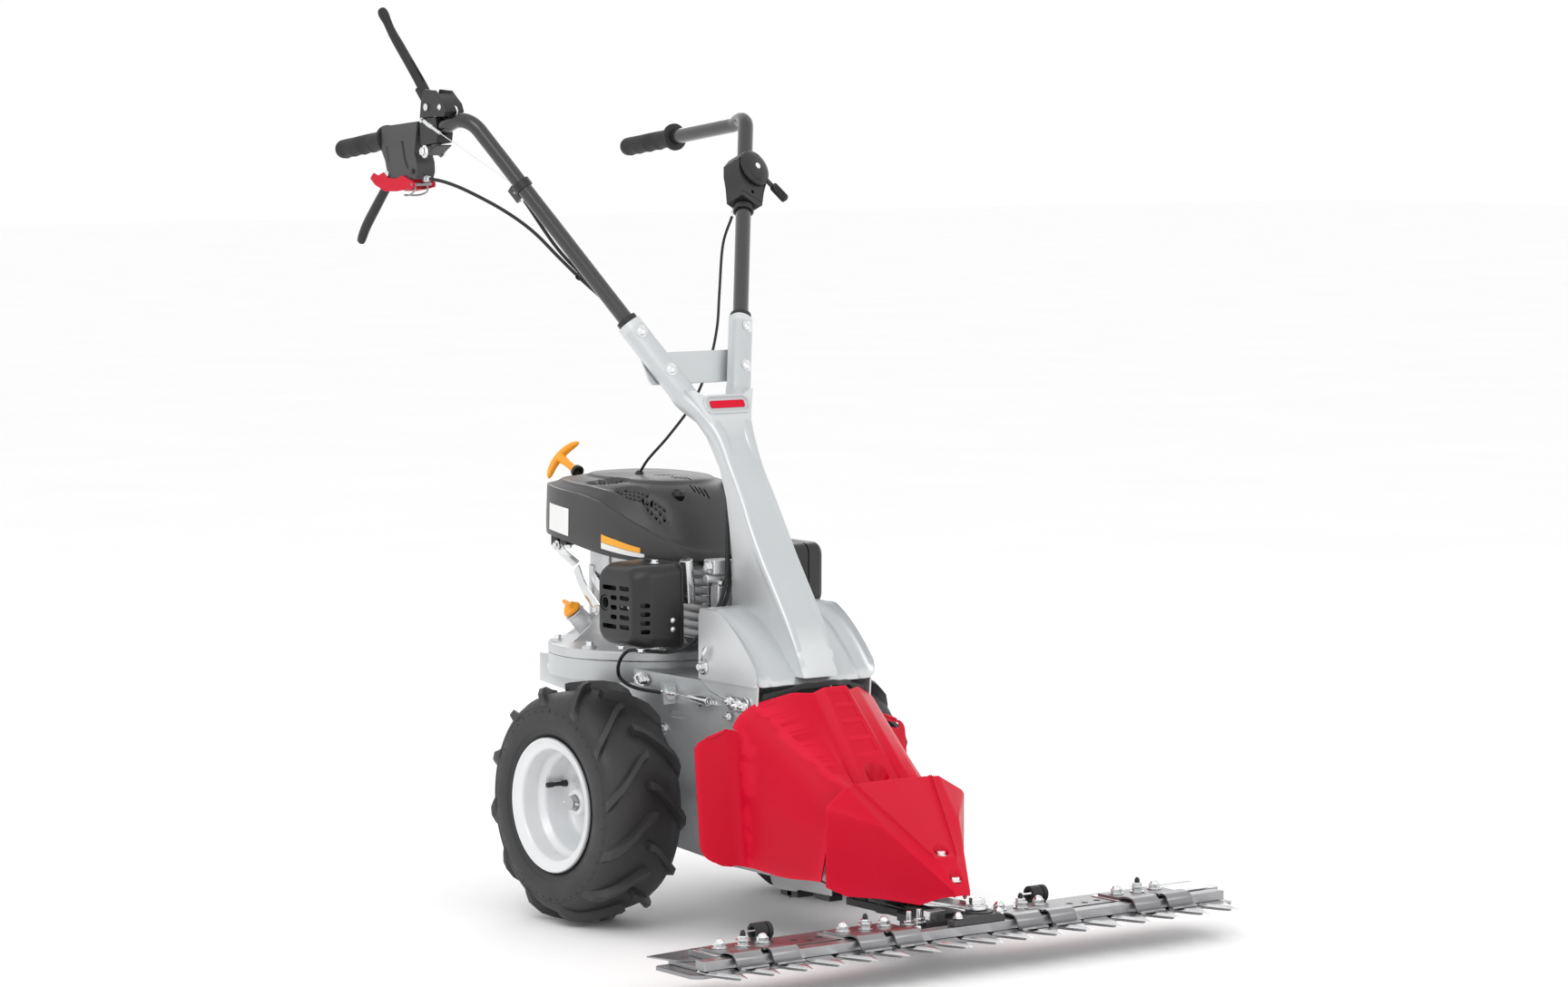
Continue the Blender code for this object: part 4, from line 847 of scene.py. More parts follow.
def make_seal():
    """The rubber strip between the mast's foot and the rear edge of the hood."""
    half = [CREASE_REAR.lerp(SPINE_REAR, s) + Vector((0, 0.003, lift)) for s, lift in
            ((0.1, 0.006), (0.14, 0.0072), (0.45, 0.0068), (0.6, 0.01), (0.8, 0.0075))]
    half.append(Vector((0, SPINE_REAR.y + 0.0045, SPINE_REAR.z + 0.006)))
    route = smooth(half + [Vector((-p.x, p.y, p.z)) for p in reversed(half[:-1])], 60)
    rings = []
    for k, p in enumerate(route):
        ahead = (route[min(k + 1, 59)] - route[max(k - 1, 0)]).normalized()
        out = ahead.cross(Z).normalized()
        rings.append([p + out * (0.0022 * u) + Z * (0.0036 * v - 0.001) for u, v in
                      ((1, -1), (1, 0.7), (0.6, 1), (-0.6, 1), (-1, 0.7), (-1, -1))])
    piece("mast_seal", skin(rings), RUBBER, bevel=0.0006)
    outline = [(-0.13, 0.341), (-0.26, 0.341), (-0.257, 0.299), (-0.245, 0.3008), (-0.15, 0.3258),
               (-0.13, 0.3368)]
    for side in (RIGHT, LEFT):
        flank = slab_x(outline, *sorted((side * 0.0935, side * 0.0963)))
        piece("mast_flank_" + HAND[side], flank, SILVER, bevel=0.0006)


def make_chassis():
    """The pressed chassis channel with the round engine seat, edge flanges and a few holes."""
    frame_mesh = from_node("chassis_frame")
    tools = []
    for y, z, long, tall in ((-0.33, 0.15, 0.05, 0.016), (-0.24, 0.215, 0.04, 0.014),
                             (-0.075, 0.285, 0.036, 0.01), (0.06, 0.302, 0.05, 0.008),
                             (0.165, 0.312, 0.05, 0.007)):
        tools.append(prism(rounded(long, tall, tall * 0.49), -0.2, 0.2, X, (0, y, z), (0, 0, 1)))
    piece("chassis_pressing", cut(frame_mesh, *tools), SILVER, "frame", ("chassis_frame",), bevel=0.0016, steps=3)
    for side in (RIGHT, LEFT):
        seats = ((-0.13, 0.31), (-0.045, 0.262), (0.04, 0.262), (0.23, 0.322), (0.105, 0.322), (-0.395, 0.12),
                 (-0.3, 0.115))
        bolt_row("chassis_bolt_" + HAND[side], [(side * 0.0965, y, z) for y, z in seats], X * side, 0.0058, 0.0045)
        bearing = revolve([(0, 0.0115), (0, 0.03), (0.004, 0.03), (0.0055, 0.022), (0.012, 0.019), (0.013, 0.0115)],
                          40, X * side, (side * 0.097, 0, AXLE_Z))
        piece("axle_bearing_" + HAND[side], bearing, CAST, bevel=0.0006)
        seats = [(side * 0.1008, y, AXLE_Z + z) for y, z in circle(0.026, 3, phase=0.5)]
        bolt_row("bearing_bolt_" + HAND[side], seats, X * side, 0.0035, 0.0025)


def make_handlebars():
    """Two bent tubes with their grips, and the plate that ties them behind the mast."""
    for side in (RIGHT, LEFT):
        corners = [on_side(p, side) for p in (TUBE_FOOT, TUBE_BEND, GRIP_LINE, TUBE_TIP)]
        path = filleted(corners, 0.04, 14)
        outer, inner = (tube_rings(path, radius, TUBE_SIDES) for radius in (TUBE_R, TUBE_R - 0.002))
        tube = skin(outer + inner[::-1], cap_first=False, cap_last=False)
        tube.verts.ensure_lookup_table()
        last = len(tube.verts) - TUBE_SIDES
        for k in range(TUBE_SIDES):
            n = (k + 1) % TUBE_SIDES
            tube.faces.new([tube.verts[i] for i in (k, n, last + n, last + k)])
        piece("tube_" + HAND[side], tube, PAINT, "frame", ("handlebar_" + HAND[side],), sharp=50)
        make_grip(side)
    slope, normal = Vector((0, 0.638, 1.0)).normalized(), Vector((0, -1.0, 0.638)).normalized()
    foot = Vector((0, TUBE_FOOT.y, TUBE_FOOT.z))
    outline = [(x, 0.027 + dz) for x, dz in rounded(0.172, 0.05, 0.008, 5)]
    cross = prism(outline, -0.0149, -0.0124, normal, foot, slope)
    piece("cross_plate_pressing", cross, SILVER, "frame", ("mast_cross_plate",), bevel=0.0006)


def make_grip(side):
    """A rubber grip with a flange, finger ribs below and shallow rings."""
    along = (TUBE_TIP - GRIP_LINE).normalized()
    start = GRIP_LINE + along * ((0.411 - GRIP_LINE.y) / along.y)
    low = -along.cross(X).normalized()
    low = low if low.z < 0 else -low
    rings = []
    profile = [(0.0, 0.0185), (0.0008, 0.02), (0.005, 0.02), (0.0062, 0.0188), (0.007, 0.015)]
    profile += [(0.0085 + 0.1165 * k / 60, 0.0133) for k in range(61)]
    profile += [(0.1275, 0.0125), (0.13, 0.0108), (0.1308, 0.008), (0.1309, 0.0012)]
    for at, radius in profile:
        ribs = 0.0011 * max(0, math.sin((at - 0.01) * FULL / 0.026)) if 0.01 < at < 0.12 else 0
        fine = 0.0003 * math.sin(at * FULL / 0.004) if 0.012 < at < 0.12 else 0
        ring = []
        for k in range(32):
            a = FULL * k / 32
            down = max(0, math.cos(a))
            r = min(radius + ribs * down + fine, 0.02)
            ring.append(start + along * at + (low * math.cos(a) + X * math.sin(a)) * r)
        rings.append([on_side(p, side) for p in ring])
    grip = skin(rings)
    bore = rod(on_side(start - along * 0.01, side), on_side(TUBE_TIP + along * 0.0004, side), TUBE_R + 0.0003, 28)
    piece("grip_sleeve_" + HAND[side], cut(grip, bore), RUBBER, "frame", ("grip_" + HAND[side],), sharp=45)


# Engine

ENGINE_Y, SEAT_TOP, FLANGE_R = 0.13, 0.347, 0.142
SHROUD_BASE, SHROUD_TOP, SHROUD_POWER = 0.512, 0.6, 2.6
SHROUD_HALF, SHROUD_CENTRE = (0.127, 0.157), (0, 0.122)
VENTS = (((-0.085, 0.105), 0.034, 0.011), ((-0.084, 0.043), 0.031, 0.0115), ((-0.071, 0.01), 0.026, 0.0105))
VENT_ALONG = Vector((0.45, -0.893))
SLOT_GROUPS = ((-0.012, 0.075), (-0.004, 0.045), (0.004, 0.012))
PLUG_HOLE = (-0.033, 0.01)
OIL_NECK, OIL_AXIS = Vector((-0.0985, 0.1705, 0.4035)), Vector((-0.62, 0.2, 0.76)).normalized()
CREASE_LINE = [(-0.04, 0.496), (-0.033, 0.4985), (-0.02, 0.5145), (0.005, 0.535), (0.04, 0.555), (0.077, 0.569),
               (0.12, 0.576), (0.21, 0.581)]
STARTER_ROOT, STARTER_AXIS = Vector((-0.03, 0.262, 0.5925)), Vector((0, 0.93, 0.37)).normalized()
FUEL_CAP = Vector((0.095, 0.04, 0.5925))


def shroud_outline(angle, scale=1.0):
    """A point of the cover's rounded plan, at an angle about its centre."""
    c, s = math.cos(angle), math.sin(angle)
    power = 2 / SHROUD_POWER
    return (SHROUD_CENTRE[0] + math.copysign(abs(c) ** power, c) * SHROUD_HALF[0] * scale,
            SHROUD_CENTRE[1] + math.copysign(abs(s) ** power, s) * SHROUD_HALF[1] * scale)


def crease_height(y):
    """The height of the edge between the wall and the dome: high at the rear, down to the foot in front."""
    for (low, first), (high, last) in zip(CREASE_LINE, CREASE_LINE[1:]):
        if y <= high:
            return mix(first, last, min(max((y - low) / (high - low), 0), 1))
    return CREASE_LINE[-1][1]


def base_height(x, y):
    """The cover's lower edge, which hangs lower towards the front on the near side."""
    return SHROUD_BASE - 0.024 * ease(0.22, -0.02, y) * ease(0.08, 0.0, x)


def vent_share(x, y, vent):
    """1 at a vent's middle, 0 on its pointed oval edge."""
    (cx, cy), half, wide = vent
    along = (x - cx) * VENT_ALONG.x + (y - cy) * VENT_ALONG.y
    across = -(x - cx) * VENT_ALONG.y + (y - cy) * VENT_ALONG.x
    return 1 - abs(across) / wide - (along / half) ** 2


def shroud_height(share, x, y):
    """The dome's height: a flat crown with a raised disc, a faint ring and sunken vents."""
    rim = crease_height(y)
    z = rim + (SHROUD_TOP - 0.003 - rim) * (1 - min(share / 0.972, 1) ** 4.2)
    z += 0.0026 * ease(0.62, 0.585, share) if share < 0.62 else 0
    z += 0.0016 * math.exp(-((share - 0.86) / 0.02) ** 2)
    for vent in VENTS:
        z -= 0.0042 * ease(-0.06, 0.1, vent_share(x, y, vent))
    return z


def make_shroud():
    """The blower cover: a tall wall with a sweeping crease, a domed top, vents and slots."""
    count = 160
    shares = [1.0, 0.985, 0.972, 0.96, 0.94] + [0.92 - 0.02 * k for k in range(45)] + [0.02]
    shells = []
    for inset in (0.0, 0.0022):
        rings = []
        for at, scale in ((0.0, 0.994), (0.06, 1.0), (0.3, 1.0), (0.6, 0.995), (0.93, 0.99)):
            ring = [shroud_outline(FULL * k / count, scale - inset / 0.14) for k in range(count)]
            rings.append([(x, y, mix(base_height(x, y) - inset * 0.3, crease_height(y), at)) for x, y in ring])
        for share in shares:
            ring = []
            for k in range(count):
                x, y = shroud_outline(FULL * k / count, 0.988 * share - inset / 0.14 * share)
                ring.append((x, y, shroud_height(share, x, y) - inset))
            rings.append(ring)
        shells.append(rings)
    outer, inner = shells
    wall = skin(outer + inner[::-1], cap_first=False, cap_last=False)
    wall.verts.ensure_lookup_table()
    last = len(wall.verts) - count
    for k in range(count):
        n = (k + 1) % count
        wall.faces.new([wall.verts[i] for i in (k, n, last + n, last + k)])
    middle = len(outer) * count
    crowns = wall.verts[middle - count:middle], wall.verts[middle:middle + count]
    between = {*crowns[0], *crowns[1]}
    for face in [f for f in wall.faces if between.issuperset(f.verts)]:
        wall.faces.remove(face)
    for ring in crowns:
        wall.faces.new(ring)
    tools = []
    step = 0.0066
    for vent in VENTS:
        cx, cy = vent[0]
        for i in range(-8, 9):
            for j in range(-3, 4):
                along, across = step * (i + 0.5 * (j % 2)), step * 0.87 * j
                x = cx + along * VENT_ALONG.x - across * VENT_ALONG.y
                y = cy + along * VENT_ALONG.y + across * VENT_ALONG.x
                if vent_share(x, y, vent) > 0.16:
                    tools.append(prism(circle(0.0025, 6), 0.54, 0.62, Z, (x, y, 0)))
    for cx, cy in SLOT_GROUPS:
        for k in range(4):
            at = (cx + (k - 1.5) * 0.0058, cy - (k - 1.5) * 0.003, 0)
            tools.append(prism(rounded(0.003, 0.015, 0.0013, 3), 0.54, 0.62, Z, at, Y))
    tools.append(prism(circle(0.0085, 24), 0.54, 0.62, Z, (*PLUG_HOLE, 0)))
    shroud = cut(wall, joined(*tools))
    piece("shroud_cover", shroud, GREY, "frame", ("engine_shroud",), sharp=32)
    plug = revolve([(0, 0), (0, 0.0084), (0.006, 0.0084), (0.006, 0.006), (0.003, 0.005), (0.003, 0)], 24, Z,
                   (*PLUG_HOLE, 0.576))
    piece("shroud_plug", plug, BLACK)
    screen = revolve([(0, 0), (0, 0.098), (0.004, 0.098), (0.006, 0)], 48, Z, (0, 0.122, 0.549))
    piece("blower_screen", screen, BLACK)
    label("shroud_label_rear", -0.44, -0.075, 0.12, 0.66, LABEL)
    label("shroud_label_side", 0.26, 0.79, 0.12, 0.24, LABEL)
    label("shroud_label_band", 0.26, 0.74, 0.25, 0.4, ORANGE)
    eyelet = ring_of(0.0045, 0.0095, 0.006, STARTER_AXIS, STARTER_ROOT - STARTER_AXIS * 0.002, 28)
    piece("starter_eyelet", eyelet, BLACK, bevel=0.0008)


def label(name, first, last, low, high, look):
    """A thin blank sticker on the near wall of the cover, between two turns and two heights."""
    rows = []
    for lift in (0.0002, 0.0007):
        row = []
        for k in range(25):
            angle = math.pi + mix(first, last, k / 24)
            x, y = shroud_outline(angle)
            x2, y2 = shroud_outline(angle + 0.01)
            out = Vector((y2 - y, x - x2, 0)).normalized()
            for at in (low, high):
                height = mix(base_height(x, y), crease_height(y), at)
                row.append(Vector((x, y, height)) + out * (lift - 0.0012 * ease(0.3, 0.95, at)))
        rows.append(row)
    bm = bmesh.new()
    back, face = ([bm.verts.new(p) for p in row] for row in rows)
    sides = [(0, 1), (48, 49)]
    for k in range(0, 48, 2):
        for row in (back, face):
            bm.faces.new([row[k + i] for i in (0, 1, 3, 2)])
        sides += [(k, k + 2), (k + 1, k + 3)]
    for p, q in sides:
        bm.faces.new((back[p], back[q], face[q], face[p]))
    piece(name, bm, look)


GUARD_LOFT = [(-0.1, 0.0, 0.0, 0.014), (-0.1035, 0.0, 0.0, 0.014), (-0.104, 0.0016, 0.0016, 0.0145),
              (-0.145, 0.0026, 0.003, 0.0165), (-0.154, 0.003, 0.0046, 0.0175), (-0.164, 0.0058, 0.011, 0.019),
              (-0.1695, 0.0088, 0.0152, 0.0185), (-0.1715, 0.0112, 0.018, 0.017), (-0.172, 0.014, 0.0205, 0.015)]


def guard_rings(wall):
    """The guard's sections from its open side outwards, drawn in by the wall for its inner face."""
    rings = []
    for x, inset, front, radius in GUARD_LOFT:
        low_y, high_y = -0.096 + front + wall, 0.01 - inset * 0.7 - wall
        low_z, high_z = 0.3775 + inset + wall, 0.4955 - inset - wall
        outline = rounded(high_y - low_y, high_z - low_z, radius - wall * 0.5, 8,
                          ((low_y + high_y) / 2, (low_z + high_z) / 2))
        rings.append([(min(x + wall, -0.1) if wall and x != -0.1 else x, y, z) for y, z in outline])
    return rings


def make_guard():
    """The silencer guard: a rounded pressing with a sloped front edge, slots, a ring hole and feet."""
    outer = skin(guard_rings(0))
    inner = guard_rings(0.0022)
    inner[0] = [(-0.095, y, z) for _, y, z in inner[0]]
    tools = [skin(inner)]
    for k, z in enumerate(0.4611 - 0.0132 * row for row in range(5)):
        tools.append(prism(rounded(0.0225, 0.0062, 0.0029), -0.19, -0.155, X, (0, -0.058, z), Z))
        long, centre = ((0.033, -0.0225) if k in (0, 4) else (0.015, -0.0325))
        tools.append(prism(rounded(long, 0.0062, 0.0029), -0.19, -0.155, X, (0, centre, z - 0.001), Z))
        if k < 4:
            at = (-0.156, -0.0855, 0.4395 - 0.0119 * k)
            tools.append(prism(rounded(0.013, 0.0062, 0.0029), -0.016, 0.014, (-0.62, -0.78, 0), at, Z))
    tools.append(prism(circle(0.011, 28), -0.19, -0.155, X, (0, -0.011, 0.4385), Z))
    guard = cut(outer, *tools)
    piece("guard_pressing", guard, BLACK, "frame", ("muffler_guard",), bevel=0.0005, steps=2, sharp=30, angle=40)
    pipe_end = revolve([(0, 0.0075), (0, 0.0098), (0.016, 0.0098), (0.016, 0.0075)], 28, X, (-0.171, -0.011, 0.4385))
    piece("muffler_outlet", pipe_end, IRON, bevel=0.0004)
    can = skin([[(x, y, z) for y, z in rounded(0.081 - grow, 0.088 - grow, 0.016, 6, (-0.0435, 0.438))]
                for x, grow in ((-0.104, 0.006), (-0.107, 0.003), (-0.129, 0.003), (-0.13, 0.0), (-0.134, 0.0),
                                (-0.135, 0.003), (-0.156, 0.003), (-0.16, 0.008))])
    piece("muffler_can", can, IRON, "frame", ("muffler",), bevel=0.0008)
    bolt_row("muffler_bolt", [(-0.16, y, z) for y, z in ((-0.034, 0.4375), (-0.056, 0.435), (-0.016, 0.47),
                                                           (-0.07, 0.402))], -X, 0.0045, 0.004)
    for k, z in enumerate((0.4176, 0.4053)):
        piece("guard_screw_%d" % k, dome_bolt((-0.117, -0.0943, z), -Y, 0.0032), ZINC)
    for k, at in enumerate(((-0.148, -0.064, 0.3785), (-0.15, -0.02, 0.3785), (-0.13, -0.07, 0.4945))):
        piece("guard_bolt_%d" % k, hex_head(at, -Z if k < 2 else Z, 0.0048, 0.0042), ZINC)


def make_crankcase():
    """The cast crankcase: flange with bosses, a domed shoulder, a barrel with ribs and an oil neck."""
    base = SEAT_TOP + 0.0004
    profile = [(base, 0.078), (base, FLANGE_R - 0.0012), (base + 0.0012, FLANGE_R), (0.3595, FLANGE_R),
               (0.361, FLANGE_R - 0.0015), (0.3618, 0.134), (0.365, 0.124), (0.369, 0.108), (0.375, 0.094),
               (0.383, 0.087), (0.4, 0.0835), (0.44, 0.0815), (0.47, 0.0805), (0.496, 0.08),
               (0.498, 0.0785), (0.498, 0.0129), (0.488, 0.0129), (0.488, 0.072)]
    barrel = revolve(profile, 96, Z, (0, ENGINE_Y, 0))
    parts = [barrel]
    for k in range(8):
        a, reach = FULL * (k + 0.35) / 8, 0.129
        at = Vector((reach * math.cos(a), ENGINE_Y + reach * math.sin(a), 0.353))
        parts.append(revolve([(0, 0), (0, 0.012), (0.011, 0.0115), (0.0125, 0.01), (0.0125, 0)], 28, Z, at))
        piece("flange_bolt_%d" % k, hex_head(at + Z * 0.0125, Z, 0.0055, 0.0048), ZINC)
        a = FULL * (k + 0.85) / 8
        out = Vector((math.cos(a), math.sin(a), 0))
        rib = [out * reach + Z * up for reach, up in ((0.078, 0), (0.125, 0), (0.123, 0.006), (0.086, 0.034),
                                                      (0.078, 0.036))]
        side = out.cross(Z) * 0.0022
        foot = Vector((0, ENGINE_Y, 0.359))
        parts.append(skin([[foot + p - side for p in rib], [foot + p + side for p in rib]]))
    for a, low, high, half in ((2.75, 0.372, 0.47, 0.01), (3.3, 0.368, 0.492, 0.008), (3.95, 0.372, 0.48, 0.012),
                               (2.25, 0.375, 0.492, 0.007), (0.4, 0.37, 0.49, 0.01), (1.2, 0.37, 0.47, 0.01)):
        out = Vector((math.cos(a), math.sin(a), 0))
        at = Vector((0, ENGINE_Y, low)) + out * 0.079
        parts.append(prism(rounded(half * 2, 0.01, 0.0035), 0, high - low, Z, at, out))
    neck = sweep([(-0.06, 0.156, 0.36), (-0.08, 0.164, 0.381), OIL_NECK - OIL_AXIS * 0.0015],
                 [0.016, 0.015, 0.0135], 28)
    parts.append(neck)
    parts.append(revolve([(0, 0), (0, 0.015), (0.003, 0.015), (0.003, 0)], 28, OIL_AXIS,
                         OIL_NECK - OIL_AXIS * 0.002))
    piece("crankcase_casting", joined(*parts), CAST, "frame", ("engine_crankcase",), bevel=0.0009, steps=2, angle=40)
    head = revolve([(0, 0), (0, 0.0135), (0.0045, 0.0135), (0.0065, 0.0118), (0.0085, 0.0095), (0.0115, 0.008),
                    (0.0115, 0)], 36, OIL_AXIS, OIL_NECK + OIL_AXIS * 0.003)
    side = OIL_AXIS.cross(Z).normalized()
    wing = prism([(-0.0125, 0.0), (-0.0125, 0.008), (-0.0075, 0.0145), (0, 0.011), (0.0075, 0.0145), (0.0125, 0.008),
                  (0.0125, 0)], -0.0026, 0.0026, side.cross(OIL_AXIS), OIL_NECK + OIL_AXIS * 0.0085, OIL_AXIS)
    piece("oil_cap_grip", joined(head, wing), ORANGE, "oil_cap", ("oil_cap",), bevel=0.0009)
    brackets = [((-0.085, 0.185, 0.47), (-0.105, 0.2, 0.496)), ((-0.08, 0.15, 0.456), (-0.088, 0.09, 0.43)),
                ((-0.085, 0.185, 0.464), (-0.085, 0.13, 0.41))]
    for k, (start, end) in enumerate(brackets):
        route = smooth([start, Vector(start).lerp(Vector(end), 0.5) + Vector((-0.006, 0, 0.002)), end], 12)
        strap = sweep(route, 0.0075, 12, 0.28, (1, 0.2, 0))
        piece("engine_strap_%d" % k, strap, ZINC, bevel=0.0003)
        piece("strap_bolt_%d" % k, hex_head(Vector(end) - X * 0.003, (-1, 0, 0.1), 0.005, 0.0045), ZINC)
    for k, (x, y, z) in enumerate(((-0.098, 0.208, 0.495), (-0.108, 0.17, 0.5), (-0.06, 0.248, 0.498),
                                   (0.088, 0.23, 0.498), (-0.103, 0.05, 0.502))):
        lug = block((x - 0.01, y - 0.008, z), (x + 0.01, y + 0.008, 0.5135))
        piece("shroud_lug_%d" % k, lug, BLACK, bevel=0.002)
        piece("shroud_screw_%d" % k, hex_head((x, y, z), -Z, 0.0045, 0.004), ZINC)
    under = revolve([(0, 0.06), (0, 0.106), (0.004, 0.111), (0.016, 0.111), (0.016, 0.06)], 64, Z, (0, 0.13, 0.499))
    piece("blower_housing", under, BLACK, bevel=0.001)


def make_cylinder():
    """The finned cylinder and head in front of the crankcase, with the spark plug and its cap."""
    parts = [block((-0.046, -0.078, 0.387), (0.046, 0.046, 0.48))]
    for z in (0.3855 + 0.0118 * k for k in range(9)):
        parts.append(prism(rounded(0.112, 0.124, 0.01), z, z + 0.0022, Z, (0, -0.018, 0), Y))
    piece("cylinder_fins", joined(*parts), STEEL, "frame", ("engine_cylinder",), bevel=0.0005)
    cover, hollow, ridge = (prism(rounded(wide, tall, radius), low, high, -Y, (0, -0.0804, 0.4325), Z)
                            for wide, tall, radius, low, high in ((0.09, 0.075, 0.014, 0, 0.0196),
                                                                  (0.078, 0.063, 0.011, 0.014, 0.03),
                                                                  (0.064, 0.05, 0.011, 0.013, 0.0196)))
    piece("valve_cover_pressing", cut(cover, hollow), CAST, "frame", ("valve_cover",), bevel=0.003)
    piece("valve_cover_rib", ridge, CAST, bevel=0.002)
    bolt_row("cover_bolt", [(x, -0.1, z) for z in (0.401, 0.464) for x in (-0.039, 0.039)], -Y, 0.0042, 0.0032)
    piece("plug_shield", sweep([(-0.0655, -0.06, 0.436), (-0.069, -0.063, 0.46), (-0.076, -0.068, 0.496)],
                               [0.009, 0.0092, 0.0092], 28), ZINC, "frame", ("spark_plug",), bevel=0.001)
    lead = smooth([(-0.074, -0.066, 0.49), (-0.0735, -0.06, 0.4985), (-0.062, -0.044, 0.496),
                   (-0.048, -0.026, 0.487), (-0.03, 0.0, 0.486)], 24)
    piece("plug_lead", sweep(lead, 0.0035, 14), RUBBER)
    lifter = joined(block((-0.052, -0.1, 0.476), (-0.02, -0.075, 0.496)),
                    rod((-0.06, -0.09, 0.47), (-0.02, -0.09, 0.47), 0.006, 20))
    piece("governor_bracket", lifter, CAST, bevel=0.002)
    piece("governor_bolt", hex_head((-0.053, -0.09, 0.486), -X, 0.006, 0.005), ZINC)


def make_intake():
    """The left side: carburettor, air filter box, fuel tank with its neck and ribbed cap."""
    body = joined(block((0.058, -0.02, 0.43), (0.0975, 0.012, 0.465)),
                  rod((0.059, -0.004, 0.445), (0.0975, -0.004, 0.445), 0.023, 32),
                  rod((0.078, -0.004, 0.4205), (0.078, -0.004, 0.43), 0.016, 28))
    piece("carburettor_casting", body, CAST, "frame", ("carburettor",), bevel=0.0015)
    box_outer = skin([[(x, y, z) for y, z in rounded(0.092 - g, 0.088 - g, 0.014, 6, (-0.036, 0.464))]
                      for x, g in ((0.0985, 0.004), (0.101, 0.0), (0.122, 0.0), (0.1225, 0.003), (0.124, 0.003),
                                   (0.1245, 0.0), (0.143, 0.0), (0.1485, 0.006), (0.15, 0.014))])
    grooves = [prism(rounded(0.06, 0.003, 0.0014), 0.1488, 0.16, X, (0, -0.036, 0.464 + dz), Z)
               for dz in (-0.02, -0.01, 0.0, 0.01, 0.02)]
    piece("air_filter_cover", cut(box_outer, *grooves), BLACK, "frame", ("air_filter_box",), bevel=0.0008)
    knob = revolve([(0, 0), (0, 0.009), (0.006, 0.009), (0.008, 0.007), (0.008, 0)], 20, Z, (0.125, -0.036, 0.499))
    piece("air_filter_knob", knob, BLACK, bevel=0.0006)
    tank = skin([[(0.122 + x, 0.1325 + y, z) for x, y in rounded(0.072 - g, 0.165 - g, 0.018, 6)]
                 for z, g in ((0.385, 0.014), (0.388, 0.006), (0.395, 0.0), (0.444, 0.0), (0.4445, 0.003),
                              (0.4475, 0.003), (0.448, 0.0), (0.498, 0.0), (0.504, 0.006), (0.506, 0.014))])
    piece("fuel_tank_shell", tank, BLACK, "frame", ("fuel_tank",), bevel=0.0008)
    neck = rod((FUEL_CAP.x, FUEL_CAP.y, 0.5), FUEL_CAP - Z * 0.0005, 0.015, 28)
    piece("fuel_neck", neck, BLACK, bevel=0.001)
    cap = [revolve([(0, 0), (0, 0.0215), (0.0095, 0.0215), (0.0115, 0.019), (0.012, 0.017), (0.012, 0)], 48, Z,
                   FUEL_CAP)]
    for x, y in circle(0.0203, 12):
        rib = FUEL_CAP + Vector((x, y, 0.0005))
        cap.append(rod(rib, rib + Z * 0.0095, 0.0017, 10))
    piece("fuel_cap_grip", joined(*cap), BLACK, "fuel_cap", ("fuel_cap",), bevel=0.0005)


def make_starter():
    """The orange pull handle: a swept T with a neck, and a short fixed end of its cord."""
    bar = Vector((0.574, -0.301, 0.76))
    bar = (bar - STARTER_AXIS * bar.dot(STARTER_AXIS)).normalized()
    top = STARTER_ROOT + STARTER_AXIS * 0.05
    points, radii = [], []
    for k in range(-12, 13):
        share = k / 12
        points.append(top + bar * (0.0339 * share) - STARTER_AXIS * (0.012 * share ** 2))
        radii.append(0.0068 * (1 - 0.32 * share ** 2) * math.sqrt(max(1 - abs(share) ** 9, 0.05)))
    grip = sweep(points, radii, 20, 0.86, STARTER_AXIS)
    neck = sweep(smooth([STARTER_ROOT + STARTER_AXIS * far for far in (0.004, 0.012, 0.028, 0.047)], 14),
                 [0.0078, 0.0078, 0.0074, 0.0068, 0.0062, 0.0057, 0.0054, 0.0053, 0.0054, 0.0056, 0.0059, 0.0063,
                  0.0067, 0.007], 20)
    piece("starter_grip", joined(grip, neck), ORANGE, "starter_handle", ("starter_handle",), sharp=60)
    inside, knot = STARTER_ROOT - STARTER_AXIS * 0.004, STARTER_ROOT + STARTER_AXIS * 0.008
    cord = piece("starter_cord", sweep([inside.lerp(knot, k / 48) for k in range(49)], 0.0017, 12), RUBBER, None)
    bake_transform(cord)


# Controls on the handlebars

